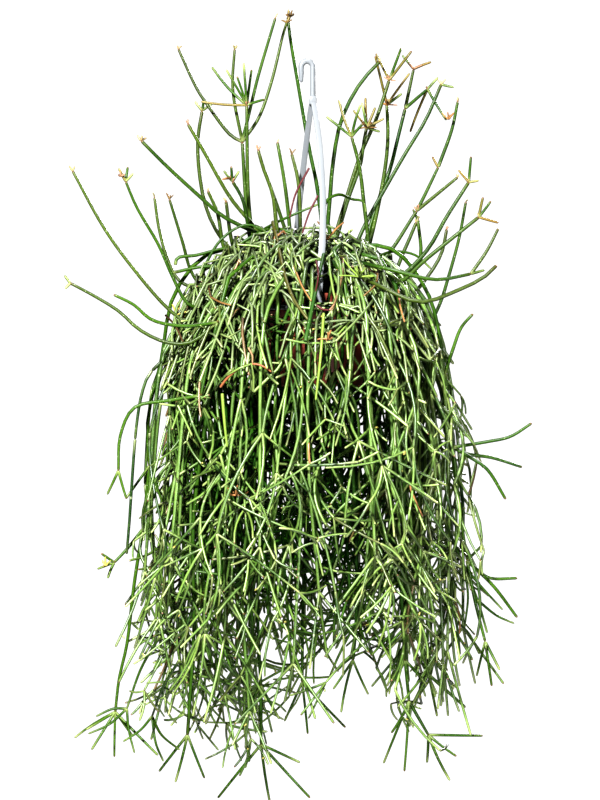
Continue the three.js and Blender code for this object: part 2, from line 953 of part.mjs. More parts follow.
const twigStem = (points) => ({ points, root: STEM.twig, tip: STEM.twig, neck: STEM.neck });

// A twig's two ends: from the stem at `spot`, leaning away from its heading, `around` radians round it.
function twigEnds(spot, heading, around, next) {
  const lean = THREE.MathUtils.degToRad(mix(TWIG.leanMin, TWIG.leanMax, next()));
  const length = mix(TWIG.lengthMin, TWIG.lengthMax, next());
  const side = new THREE.Vector3(1, 0, 0).cross(heading).normalize();
  side.applyAxisAngle(heading, around + (next() - 0.5) * TWIG.turn);
  const away = heading.clone().multiplyScalar(Math.cos(lean)).addScaledVector(side, Math.sin(lean));
  return [spot.clone().addScaledVector(heading, -STEM.rooted), spot.clone().addScaledVector(away, length)];
}

// Stem number `number` of a clump with its whorls, drawn again until it is clear of what is there.
function hangingStems(node, { root, ring, heading }, number) {
  for (let attempt = 0; attempt < STEM_TRIES; attempt++) {
    const next = draws(node, number, attempt);
    const swing = THREE.MathUtils.degToRad(ring.step * mix(...SWING, attempt / STEM_TRIES));
    const towards = heading + (next() * 2 - 1) * swing;
    const share = attempt < STEM_TRIES / 2 ? (number + next()) / ring.stems : next();
    const knots = hangingAxis(root, towards, mix(ring.fallMin, ring.fallMax, share), next);
    const points = smooth(knots, knots.length - 1);
    const pieces = piecesOf(node, number, points, STEM.hanging);
    if (!isClear(pieces)) continue;
    taken.push(...pieces);
    const stem = { points, root: STEM.hanging, tip: STEM.hanging * STEM.taper };
    return [stem, ...whorlTwigs(node, number, stem)];
  }
  return [];
}

// The twigs of a hanging stem's whorls. The first twig of the whorl at its end carries the stem on.
function whorlTwigs(node, number, stem) {
  const last = stem.points.length - 1;
  const twigs = [];
  WHORLS.forEach(({ at, twigs: count, share }, level) => {
    if (draws(node, number, level)() > share) return;
    const joint = Math.round(at * last);
    const spot = stem.points[joint];
    const heading = spot.clone().sub(stem.points[joint - 1]).normalize();
    for (let i = 0; i < count; i++) {
      for (let attempt = 0; attempt < TWIG_TRIES; attempt++) {
        const next = draws(node, number, level, i, attempt);
        const points = twigEnds(spot, heading, (i * 2 * Math.PI) / count, next);
        const pieces = piecesOf(node, number, points, STEM.twig);
        if (!isClear(pieces)) continue;
        taken.push(...pieces);
        if (at === 1 && i === 0) stem.points.push(points[1]);
        else twigs.push(twigStem(points));
        break;
      }
    }
  });
  return twigs;
}

// ---------------------------------------------------------------- the plant

function plantSolid(root, radius, stems) {
  const crown = postSolid(root, radius, CROWN.bottom, CROWN.top);
  return joined([crown, ...stems.map((stem) => stemSolid(stem))]);
}

// Every plant's place in the soil: the sprays', then the rings of clumps.
const plants = SPRAYS.map((spray) => ({ ...spray, radius: CROWN.sprayRadius }));
for (const ring of CLUMP_RINGS) {
  for (let place = 0; place < ring.count; place++) {
    const heading = THREE.MathUtils.degToRad(ring.start + ring.step * place);
    const root = [Math.cos(heading) * ring.radius, Math.sin(heading) * ring.radius];
    const name = `clump_${String(plants.length - SPRAYS.length + 1).padStart(2, "0")}`;
    plants.push({ name, root, radius: CROWN.clumpRadius, ring, heading, stems: [] });
  }
}

// The hanger and the crowns are in place before any stem, and the sprays before the clumps.
const HANGER_NODE = -1;
for (const path of [legFront, legBack, hookPath()]) {
  taken.push(...piecesOf(HANGER_NODE, 0, path, HANGER.keepOff));
}
plants.forEach(({ root, radius }, node) => {
  const post = [point([...root, CROWN.bottom]), point([...root, CROWN.top])];
  taken.push(...piecesOf(node, -1, post, radius / STEM.corner));
});
plants.forEach((plant, node) => {
  if (!plant.shoots) return;
  plant.stems = sprayStems(plant, node);
  plant.stems.forEach(({ points, root }, number) => taken.push(...piecesOf(node, number, points, root)));
});
const mostStems = Math.max(...CLUMP_RINGS.map((ring) => ring.stems));
for (let number = 0; number < mostStems; number++) {
  plants.forEach((plant, node) => {
    if (plant.ring && number < plant.ring.stems) plant.stems.push(...hangingStems(node, plant, number));
  });
}

// ---------------------------------------------------------------- the assembly

const stemGreen = new THREE.MeshStandardMaterial({ color: 0x5f8a3a, roughness: 0.55, metalness: 0 });
const shootGreen = new THREE.MeshStandardMaterial({ color: 0x4f7a3c, roughness: 0.5, metalness: 0 });
const potPlastic = new THREE.MeshStandardMaterial({ color: 0x7a3a26, roughness: 0.5, metalness: 0 });
const whitePlastic = new THREE.MeshStandardMaterial({ color: 0xe6ecf2, roughness: 0.4, metalness: 0 });
const peat = new THREE.MeshStandardMaterial({ color: 0x2e2119, roughness: 0.95, metalness: 0 });

const model = new THREE.Group();
model.name = "mistletoe_cactus";

function addNode(name, solid, material) {
  const mesh = new THREE.Mesh(geometryFrom(solid), material);
  mesh.name = name;
  model.add(mesh);
}

addNode("hanger", hangerSolid(), whitePlastic);
addNode("pot", potSolid(), potPlastic);
addNode("soil", soilSolid(plants), peat);
for (const plant of plants) {
  const material = plant.name.startsWith("clump") ? stemGreen : shootGreen;
  addNode(plant.name, plantSolid(plant.root, plant.radius, plant.stems), material);
}

export default model;
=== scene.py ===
"""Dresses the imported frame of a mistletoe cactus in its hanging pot.

It makes the hanger, the pot and the peat, grows the upright shoots and the hanging stems, and sets the stage.
"""
import math
from collections import namedtuple

import bmesh
import bpy
import numpy as np
from bpy.props import FloatProperty, FloatVectorProperty, IntProperty, PointerProperty
from bpy.types import Operator, Panel, PropertyGroup
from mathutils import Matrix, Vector


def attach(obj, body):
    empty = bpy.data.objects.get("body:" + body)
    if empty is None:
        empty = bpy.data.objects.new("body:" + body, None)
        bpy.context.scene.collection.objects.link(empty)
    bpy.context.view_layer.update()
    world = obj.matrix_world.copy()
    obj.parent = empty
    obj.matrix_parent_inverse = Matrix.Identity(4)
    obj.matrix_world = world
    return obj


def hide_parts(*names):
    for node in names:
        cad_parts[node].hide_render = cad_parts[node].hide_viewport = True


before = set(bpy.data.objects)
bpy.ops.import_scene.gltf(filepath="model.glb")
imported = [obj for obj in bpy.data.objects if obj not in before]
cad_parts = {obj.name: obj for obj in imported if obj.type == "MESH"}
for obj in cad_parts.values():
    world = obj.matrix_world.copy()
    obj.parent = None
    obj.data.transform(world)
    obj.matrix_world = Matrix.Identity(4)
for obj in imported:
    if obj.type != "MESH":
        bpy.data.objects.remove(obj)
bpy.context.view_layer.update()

bl_info = {
    "name": "Mistletoe Cactus in a Hanging Pot",
    "version": (1, 0, 0),
    "blender": (4, 5, 0),
    "location": "3D View > Sidebar > Cactus",
    "description": "Grows a hanging mistletoe cactus over its packed frame and sets it on a plain stage",
    "category": "Object",
}

MM = 0.001

# ---------------------------------------------------------------- sizes, in millimetres
#
# The solids' stems follow the same rule here, so their sizes and the seed are the solids' own.

SEED = 20767

# The pot, its soil and the hanger's ring under the rim. Heights count up from the hook's seat.
RIM_TOP = -241
RIM_RADIUS = 75
RIM_HEIGHT = 11.6
WALL_RADIUS = 71.6
FOOT_RADIUS = 57
POT_HEIGHT = 94
WALL = 2
FLOOR = 2.5
SOIL_TOP = -248
RING_INSIDE = 72.6
RING_OUTSIDE = 78
RING_HEIGHT = 5
GAP = 0.3  # the rim lies this much over the ring

# The hanger's hook, collar and legs.
ROD = 3
HOOK_BEND = 6
HOOK_CENTRE = -3
HOOK_TIP = -17.5
HOOK_STRAIGHT = 6
HOOK_STEPS = 8
SHANK_END = -38
COLLAR = (8, 7.4, 9)  # width, depth and height
LEG = (5.4, 7.6, 2.4)  # width at the top, width at the foot, thickness
KEEP_OFF = 3.4  # radius that stands for the hook and the legs where stems keep clear of them

# The crowns, in which the stems stand.
CROWN_BOTTOM = -264
CROWN_TOP = -242
CROWN_SUNK = 3
SPRAY_CROWN = 4
CLUMP_CROWN = 5.4

# Radii of the stems, and how the solids' stems are built and kept apart.
SHOOT = 2.3
ARM = 1.9
HANGING = 2.1
TWIG = 1.5
TAPER = 0.78
CORNER = 1.2  # how far a solid stem's corner stands out, in radii
STEPS_PER_POINT = 1.1
ROOTED = 0.3  # how far a twig starts inside its stem
TIP_DEPTH = 0.9  # how far a twig at a shoot's head may lead to the front or the back
CLEAR = 0.5
CROWDED = 3  # pieces of a stem that may touch others of its node near the crown
PASS_OVER, PASS_OUTSIDE, PASS_INSIDE, PASS_UNDER = 5, 4, 4, 5  # how clear the stems pass the pot

Ring = namedtuple("Ring", "count radius start step stems fall_min fall_max extra")
RINGS = [
    Ring(16, 60, 11.25, 22.5, 3, 92, 152, 5),
    Ring(8, 30, 11.25, 45, 3, 122, 162, 6),
]

Mound = namedtuple("Mound", "top fall radius power")
MOUND = Mound(-188, 105, 155, 2.6)

# How a stem leaves its crown, crosses the mound and hangs. The first three are shares of its way out.
Hang = namedtuple("Hang", """
    leave crest turn lift depth shoulder_drop leftward bend sway_top sway spread spread_over highest_end
    over_edge longer""")
HANG = Hang(0.13, 0.45, 0.84, 20, 20, 14, 12, 150, 3, 9, 0.13, 130, -400, 62, 0.55)

TWIG_LEAN = (14, 52)
TWIG_LENGTH = (40, 90)
TWIG_TURN = 0.9
WHORLS = [(0.66, 1, 0.2), (1, 3, 1)]  # where along a hanging stem, how many twigs, and how likely
STEM_TRIES = 40
TWIG_TRIES = 6
SWING = (0.5, 1.6)  # how far round the pot a stem may swing, in steps of its ring, at the first and last try

# Where the curtain ends, from left to right, as (x, z).
LOWER_EDGE = [
    (-215, -600), (-190, -665), (-120, -700), (-60, -735), (-15, -690), (20, -625),
    (62, -600), (92, -690), (130, -715), (160, -640), (215, -585),
]

LEG_FRONT = [
    (5.8, 0, -35), (8.5, -8, -52), (12.5, -23, -82), (14.8, -38, -115), (16.1, -54, -152),
    (15.2, -67, -192), (12.9, -74.4, -222), (11.8, -76.4, -242), (11.8, -76.4, -255),
]
LEG_BACK = [
    (5.8, 0, -35), (3, 8, -52), (-1, 23, -82), (-5, 38, -115), (-9, 54, -152),
    (-11.5, 67, -192), (-12, 74.4, -222), (-11.8, 76.4, -242), (-11.8, 76.4, -255),
]

# A spray's name and root, and its shoots. Each shoot starts at the crown or at the end of the shoot it
# numbers, runs through its points (x, y, z), and ends in a whorl of twigs whose tips are given as (x, z).

SPRAYS = [
    ("spray_left_crown", (-41.6, 17.2), [
        (None, [(-55, 16, -190), (-61, 14, -141), (-63, 12, -41)],
            [(-100, 1), (-84, -6), (-73, -12), (-66, 2), (-58, -3), (-111, -37), (-44, -35)]),
        (None, [(-58, 25, -190), (-64, 27, -141), (-68, 28, -78)], []),
        (1, [(-80, 31, -71), (-105, 36, -38), (-116, 39, -21), (-136, 44, 22)], []),
        (1, [(-78, 29, -22), (-76, 30, 20)], []),
        (1, [(-51, 31, -53), (-37, 34, -13), (-25, 38, 37), (-21, 40, 50)], [(-17, 57)]),
        (1, [(-57, 24, -33), (-52, 22, -13), (-33, 18, 51)], []),
    ]),
    ("spray_left_back", (-31.8, 31.8), [
        (None, [(-64, 42, -206), (-90, 48, -179), (-108, 52, -141), (-116, 54, -77), (-111, 54, -42)],
            [(-119, -32), (-109, -29), (-100, -35)]),
    ]),
    ("spray_left_long", (-15, 0), [
        (None, [(-19, -4, -212), (-38, -9, -183), (-60, -12, -173), (-88, -16, -159), (-110, -18, -140),
            (-145, -20, -108), (-171, -22, -82)], []),
        (None, [(-30, 2, -205), (-55, 2, -169), (-79, 2, -140), (-105, 2, -95), (-124, 2, -62)], []),
    ]),
    ("spray_left_fan", (-45, 0), [
        (None, [(-56, 1, -238), (-75, 2, -216), (-87, 1, -189), (-93, -1, -155), (-103, -4, -132)], []),
        (None, [(-60, 0, -228), (-77, -4, -189), (-84, -12, -143)], []),
        (None, [(-53, -2, -220), (-61, -6, -170), (-67, -20, -141), (-77, -24, -124)],
            [(-86, -113), (-78, -109), (-70, -113)]),
    ]),
    ("spray_left_out", (-41.6, -17.2), [
        (None, [(-55, -30, -222), (-84, -48, -224), (-104, -58, -258)], []),
        (0, [(-112, -64, -330), (-121, -67, -400), (-132, -68, -452)], [(-148, -492), (-124, -500)]),
        (0, [(-122, -58, -270), (-140, -56, -258), (-180, -50, -212), (-208, -46, -173), (-240, -42, -115)],
            []),
        (0, [(-121, -66, -252), (-136, -72, -225), (-150, -76, -193), (-172, -80, -155), (-183, -82, -129)],
            [(-190, -116), (-181, -114), (-175, -121)]),
    ]),
    ("spray_left_side", (-29.4, 5.9), [
        (None, [(-50, 4, -210), (-84, 12, -211), (-108, 20, -236)], []),
        (0, [(-124, 28, -290), (-130, 30, -360), (-138, 32, -430)], [(-160, -470), (-128, -478)]),
        (0, [(-122, 20, -213), (-130, 18, -185), (-144, 16, -139)], []),
        (0, [(-134, 30, -224), (-146, 34, -203), (-156, 38, -169), (-161, 40, -135)], []),
    ]),
    ("spray_left_low", (-31.8, -31.8), [
        (None, [(-44, -54, -222), (-66, -88, -230), (-90, -104, -272)], []),
        (0, [(-106, -114, -345)], []),
        (0, [(-116, -108, -292), (-140, -104, -292), (-168, -100, -279), (-188, -96, -261),
            (-212, -92, -246), (-238, -90, -232)], [(-244, -224), (-243, -238)]),
        (0, [(-122, -118, -276), (-154, -124, -270), (-172, -124, -255), (-192, -124, -245)], []),
        (1, [(-138, -116, -350), (-172, -116, -357), (-186, -114, -385), (-188, -112, -420)],
            [(-200, -444), (-180, -448)]),
    ]),
    ("spray_left_edge", (-24.9, -16.7), [
        (None, [(-52, -18, -197), (-102, -14, -198), (-138, -4, -240), (-152, 4, -309), (-166, 4, -370),
            (-164, 4, -418)], [(-188, -452), (-150, -458)]),
        (0, [(-171, 4, -484)], []),
        (1, [(-186, -4, -503), (-200, -8, -518)], [(-218, -525), (-213, -508), (-206, -534)]),
        (1, [(-180, 6, -540), (-188, 8, -605), (-196, 8, -640), (-200, 8, -675)],
            [(-244, -704), (-231, -694), (-224, -713), (-201, -722), (-182, -701), (-154, -717)]),
    ]),
    ("hanging_left_lobe", (-17.2, -41.6), [
        (None, [(-40, -64, -204), (-72, -84, -214), (-88, -94, -262), (-100, -97, -360),
            (-114, -96, -470), (-114, -84, -580), (-121, -74, -688)],
            [(-151, -728), (-104, -733), (-134, -738)]),
    ]),
    ("hanging_lowest", (0, -45), [
        (None, [(-8, -66, -212), (-20, -92, -222), (-30, -104, -262), (-40, -106, -360),
            (-46, -98, -470), (-50, -84, -560), (-47, -66, -639)], [(-68, -676), (-28, -672)]),
        (0, [(-47, -50, -701)], [(-92, -759), (-38, -766), (3, -751), (-7, -720)]),
    ]),
    ("hanging_back", (0, 45), [
        (None, [(2, 66, -212), (6, 92, -222), (8, 104, -262), (4, 106, -360), (0, 98, -470),
            (-4, 84, -560), (-5, 70, -651)], [(41, -696), (1, -707), (-24, -692)]),
    ]),
    ("hanging_notch", (17.2, -41.6), [
        (None, [(24, -66, -210), (34, -90, -222), (42, -100, -262), (44, -102, -360), (48, -96, -470),
            (50, -86, -560), (46, -78, -612)], [(26, -641), (62, -648), (34, -664)]),
    ]),
    ("hanging_right_lobe", (16.7, -24.9), [
        (None, [(42, -48, -200), (76, -68, -208), (96, -76, -262), (98, -76, -360), (98, -68, -470),
            (96, -60, -560), (100, -52, -615)], [(80, -648), (122, -640)]),
        (0, [(104, -48, -657)], [(86, -690), (79, -725), (99, -728)]),
        (1, [(124, -44, -692)], [(180, -693), (123, -722), (145, -736), (152, -712)]),
    ]),
    ("hanging_right_back", (5.9, 29.4), [
        (None, [(36, 36, -194), (86, 34, -202), (120, 32, -262)], []),
        (0, [(126, 32, -360), (128, 30, -470), (126, 28, -560), (128, 26, -638)],
            [(110, -670), (136, -680)]),
        (1, [(148, 28, -656), (167, 30, -673)], []),
        (0, [(132, 32, -262), (140, 31, -248), (148, 30, -223), (160, 28, -179), (167, 26, -141)], []),
    ]),
    ("spray_right_edge", (7.5, -13), [
        (None, [(32, -22, -198), (62, -30, -190), (92, -31, -197), (126, -31, -244), (142, -30, -322)], []),
        (0, [(150, -28, -398)], []),
        (0, [(150, -36, -296), (158, -38, -275), (170, -40, -261)], []),
        (1, [(186, -34, -392), (208, -38, -387), (230, -42, -373)], []),
        (1, [(166, -22, -405), (191, -16, -409), (223, -10, -419)], []),
        (1, [(167, -34, -408), (184, -40, -420), (203, -46, -451)], []),
        (1, [(157, -24, -460), (165, -22, -515)], [(181, -499)]),
        (6, [(191, -28, -540), (216, -32, -573)], []),
        (6, [(188, -14, -533), (218, -10, -534)], []),
        (6, [(174, -20, -560), (184, -18, -599)], [(198, -627), (176, -636), (190, -644)]),
    ]),
    ("shoot_right_arc", (24.9, 16.7), [
        (None, [(31, 20, -213), (27, 21, -185), (22, 21, -166), (24, 20, -140), (27, 14, -103),
            (36, 6, -57), (56, 2, -19), (76, 0, 3)], []),
    ]),
    ("shoot_right_whorl", (45, 0), [
        (None, [(52, -12, -234), (63, -16, -208), (58, -18, -140), (54, -18, -108), (46, -18, -77)],
            [(20, -56), (33, -38), (55, -46), (58, -64)]),
    ]),
    ("spray_right_mid", (15, 0), [
        (None, [(29, -1, -188), (43, -2, -140), (56, -2, -103), (59, -2, -81), (62, -2, -66)],
            [(48, -48), (57, -40), (61, -34), (71, -45), (80, -57), (76, -71)]),
        (None, [(27, 3, -188), (41, 5, -140), (56, 7, -93), (72, 9, -57), (86, 10, -15)],
            [(72, 13), (99, 20), (109, 14)]),
    ]),
    ("spray_right_tall", (41.6, 17.2), [
        (None, [(60, 22, -204), (76, 25, -140), (83, 25, -99), (85, 25, -73), (84, 25, -39)],
            [(71, 9), (108, -6), (100, -27)]),
        (None, [(58, 29, -196), (75, 36, -140), (88, 40, -105), (96, 42, -73), (104, 43, -41)], []),
        (1, [(113, 44, 1)], [(132, 9), (101, 16)]),
        (1, [(128, 47, -20)], [(110, -64), (147, -55), (139, -8)]),
    ]),
    ("spray_right_lean", (29.4, -5.9), [
        (None, [(58, 2, -172), (86, 4, -121), (104, 5, -90), (124, 6, -57), (140, 7, -20)], [(153, -24)]),
        (None, [(50, -6, -222), (78, -6, -205), (114, -8, -153)], []),
        (1, [(122, -9, -137), (136, -11, -108)], [(130, -97)]),
        (2, [(150, -13, -69), (156, -14, -40)], []),
        (1, [(156, -18, -119)], []),
    ]),
    ("spray_right_pair", (41.6, -17.2), [
        (None, [(66, -36, -228), (92, -44, -225), (122, -48, -197), (142, -50, -163), (165, -50, -127)],
            [(167, -101), (175, -126), (154, -115)]),
        (None, [(64, -38, -231), (92, -54, -231), (120, -62, -207), (150, -66, -183), (174, -68, -164)],
            [(178, -144), (186, -148), (194, -170)]),
    ]),
    ("spray_right_back", (31.8, 31.8), [
        (None, [(58, 44, -232), (88, 52, -236), (112, 58, -217), (121, 60, -197), (118, 60, -157)],
            [(113, -146)]),
        (None, [(56, 44, -228), (84, 46, -227), (104, 48, -189), (116, 48, -161)], []),
        (None, [(60, 52, -234), (88, 66, -239), (110, 72, -238), (128, 76, -219), (144, 78, -193),
            (150, 78, -166)], []),
    ]),
    ("spray_right_low", (31.8, -31.8), [
        (None, [(46, -52, -212), (74, -88, -216), (128, -100, -229), (164, -94, -223)], [(178, -219)]),
        (0, [(180, -92, -200), (192, -90, -177)], []),
        (None, [(42, -52, -224), (66, -94, -232), (112, -114, -252), (150, -110, -240),
            (176, -108, -227), (189, -108, -215)], []),
    ]),
    ("shoot_tallest", (17.2, 41.6), [
        (None, [(19, 50, -204), (11, 54, -123), (3, 56, -84), (-7, 56, -27), (-19, 54, 45), (-20, 54, 58)],
            [(-19, 65)]),
    ]),
    ("shoot_front", (-5.9, -29.4), [
        (None, [(-11, -34, -244), (-21, -42, -222), (-31, -48, -173), (-35, -50, -140), (-45, -50, -112),
            (-50, -50, -94)], []),
    ]),
    ("spray_centre", (-7.5, 13), [
        (None, [(-17, 13, -190), (-25, 12, -165), (-33, 11, -141), (-43, 10, -113)], []),
        (None, [(-16, 17, -190), (-20, 18, -149), (-24, 19, -118), (-31, 20, -79)], []),
        (None, [(-7, 22, -190), (-9, 27, -121), (-16, 30, -90)], []),
    ]),
]


# ---------------------------------------------------------------- numbers and lines

MASK = 0xFFFFFFFF


def draws(*keys):
    """A run of numbers between 0 and 1 that depends only on the seed and the keys."""
    state = SEED
    for key in keys:
        state = ((state ^ (key + 1013904223)) * 1664525 + 12345) & MASK
        state ^= state >> 15

    def draw():
        nonlocal state
        state = (state + 0x6D2B79F5) & MASK
        t = (state ^ (state >> 15)) * (1 | state) & MASK
        t = (t + ((t ^ (t >> 7)) * (61 | t) & MASK) & MASK) ^ t
        return ((t ^ (t >> 14)) & MASK) / 4294967296

    return draw


def mix(a, b, t):
    return a + (b - a) * t


def at_least(least, more, draw):
    return least + more * draw()


def some(least, more, draw):
    """A whole number from `least` on."""
    return least + int(draw() * more)


def pick(choices, draw):
    return choices[int(draw() * len(choices))]


def stray(draw, axes=3):
    """A vector whose first numbers are drawn from -1/2 to 1/2."""
    return np.array([draw() - 0.5 if axis < axes else 0 for axis in range(3)])


def unit(v):
    return v / np.linalg.norm(v)


def around_axis(heading, radius):
    return math.cos(heading) * radius, math.sin(heading) * radius


def value_at(table, x):
    """The value at x of a table of (x, value), with straight lines between its rows."""
    return np.interp(x, *zip(*table))


def lengths_along(line):
    """How far along the line each of its points is."""
    return np.concatenate([[0], np.cumsum(np.linalg.norm(np.diff(line, axis=0), axis=1))])


def spots_along(line, reached, at):
    """The spots `at` these lengths along the line, whose points are `reached` at those."""
    return np.stack([np.interp(at, reached, line[:, axis]) for axis in range(3)], axis=1)


def end_heading(line):
    return unit(line[-1] - line[-2])


def curve_through(points, steps):
    """A centripetal Catmull-Rom curve through the points, cut in `steps` pieces."""
    p = np.array(points, float)
    p = np.vstack([2 * p[0] - p[1], p, 2 * p[-1] - p[-2]])
    at = np.arange(steps + 1) / steps * (len(p) - 3)
    k = np.minimum(at.astype(int), len(p) - 4)
    w = (at - k)[:, None]
    a, b, c, d = p[k], p[k + 1], p[k + 2], p[k + 3]
    ab, bc, cd = (np.sqrt(np.linalg.norm(q - r, axis=1))[:, None] for q, r in ((a, b), (b, c), (c, d)))
    t1 = ((b - a) / ab - (c - a) / (ab + bc) + (c - b) / bc) * bc
    t2 = ((c - b) / bc - (d - b) / (bc + cd) + (d - c) / cd) * bc
    return b + w * (t1 + w * (3 * (c - b) - 2 * t1 - t2 + w * (2 * (b - c) + t1 + t2)))


def turned(v, axis, angle):
    """The vector v turned about the unit axis."""
    along = axis * (axis @ v)
    return v * math.cos(angle) + np.cross(axis, v) * math.sin(angle) + along * (1 - math.cos(angle))


# ---------------------------------------------------------------- keeping the solids' stems apart

# The columns of a table that holds the straight pieces of the stems, one in each row.
NODE, STEM, FREE, RADIUS, HALF = range(5)
FROM, TO, MIDDLE = slice(5, 8), slice(8, 11), slice(11, 14)
COLUMNS = 14


def straight_pieces(node, stem, points, radius):
    """The straight pieces of a stem. The first ones of a long stem are not free: they may touch the others of
    their node near its crown."""
    a, b = np.array(points[:-1], float), np.array(points[1:], float)
    count = len(a)
    free = [i >= CROWDED or count <= CROWDED for i in range(count)]
    half = np.linalg.norm(b - a, axis=1) / 2
    columns = [np.full(count, node), np.full(count, stem), free, np.full(count, radius * CORNER), half]
    return np.hstack([np.column_stack(columns), a, b, (a + b) / 2])


def gaps_between(piece, others):
    """The distances from one straight piece's middle line to those of the others."""
    u = piece[TO] - piece[FROM]
    v = others[:, TO] - others[:, FROM]
    w = piece[FROM] - others[:, FROM]
    uu, vv, uv, uw, vw = u @ u, (v * v).sum(1), v @ u, w @ u, (v * w).sum(1)
    den = uu * vv - uv * uv
    s = np.where(den > 1e-9, np.clip((uv * vw - vv * uw) / np.where(den > 1e-9, den, 1), 0, 1), 0)
    t = np.clip((uv * s + vw) / vv, 0, 1)
    s = np.clip((uv * t - uw) / uu, 0, 1)
    return np.linalg.norm(w + u * s[:, None] - v * t[:, None], axis=1)


def clear_of_pot(spots):
    """True for each spot over the rim, outside the hanger's ring, inside the wall or under the pot."""
    spots = np.asarray(spots)
    radius, z = np.hypot(spots[:, 0], spots[:, 1]), spots[:, 2]
    inside = (radius < WALL_RADIUS - WALL - PASS_INSIDE) & (z > SOIL_TOP)
    over = z > RIM_TOP + PASS_OVER
    return over | inside | (radius > RING_OUTSIDE + PASS_OUTSIDE) | (z < RIM_TOP - POT_HEIGHT - PASS_UNDER)


class Thicket:
    """The straight pieces of every stem placed so far."""

    def __init__(self):
        self.table = np.empty((0, COLUMNS))

    def add(self, node, stem, points, radius):
        self.table = np.vstack([self.table, straight_pieces(node, stem, points, radius)])

    def is_clear(self, node, stem, points, radius):
        pieces = straight_pieces(node, stem, points, radius)
        if not clear_of_pot(np.vstack([pieces[:, FROM], pieces[:, TO], pieces[:, MIDDLE]])).all():
            return False
        for piece in pieces:
            others = self.table
            same = (others[:, STEM] == stem) | (not piece[FREE]) | (others[:, FREE] == 0)
            own = (others[:, NODE] == node) & same
            reach = others[:, RADIUS] + piece[RADIUS] + CLEAR
            apart = np.linalg.norm(others[:, MIDDLE] - piece[MIDDLE], axis=1)
            near = ~own & (apart <= others[:, HALF] + piece[HALF] + reach)
            if near.any() and (gaps_between(piece, others[near]) < reach[near]).any():
                return False
        return True


# ---------------------------------------------------------------- growth
#
# A Part is one joint of the plant: its middle line, its radius at both ends, the share of that radius left
# where it joins what bears it, how light it is, how far its tip pales, the colour laid over it: that of young
# growth, and on the mound's stems a painted highlight of the top light; and its kind.

Part = namedtuple("Part", "line root tip neck tone pale young kind")

# Colours of young and dry growth, and of painted top light. A fourth number is the share that covers the
# green.
GREEN = (0, 0, 0, 0)
YELLOW = (0.38, 0.33, 0.07)
TAN = (0.34, 0.25, 0.12)
OCHRE = (0.19, 0.11, 0.03)
# painted highlight: a pale tint on the mound's stems that stands for the top light falling on them
PAINTED_TOP_LIGHT = (0.150, 0.172, 0.080, 0.42)
ORANGE = (0.30, 0.14, 0.05)
RED = (0.075, 0.012, 0.014)
PINK = (0.30, 0.16, 0.09)
BROWN = (0.15, 0.07, 0.03)
FRESH = (0.20, 0.30, 0.05)
RUST = (0.24, 0.085, 0.035)
OLIVE = (0.070, 0.062, 0.014)
DEEP_GREEN = (0.025, 0.075, 0.012, 0.9)

UP = np.array([0.0, 0.0, 1.0])
SHOOT_LOOK, HANGING_LOOK = 900, 901  # last keys of the draws for the looks of the solids' stems
FINE = 8  # steps of their middle lines for each point
FIRST_JOINT = 5  # points that the first joint of a hanging stem takes up
SHOOT_NECK, TWIG_NECK, TWIG_TAPER = 0.8, 0.62, 0.84

# How light the stems are, as the least and what may come on top of it.
UPRIGHT_TONE = (0.07, 0.42)
LOW_TONE = (0.35, 0.4)
HANGING_TONE = (0.3, 0.45)
TWIG_TONE = (0.25, 0.7)
JOINT_TONES = 0.16  # how much lighter or darker one joint may be than the next

OLIVE_COVER = 0.35  # the share of an upright shoot's green that olive covers at most
OCHRE_TWIGS, OCHRE_COVER = 0.3, (0.4, 0.4)  # the share of their twigs that are ochre, and how much it covers
BROWN_TIPS = 0.3  # share of the twigs whose tips have dried brown
PALE_TIPS = (0.15, 0.6)

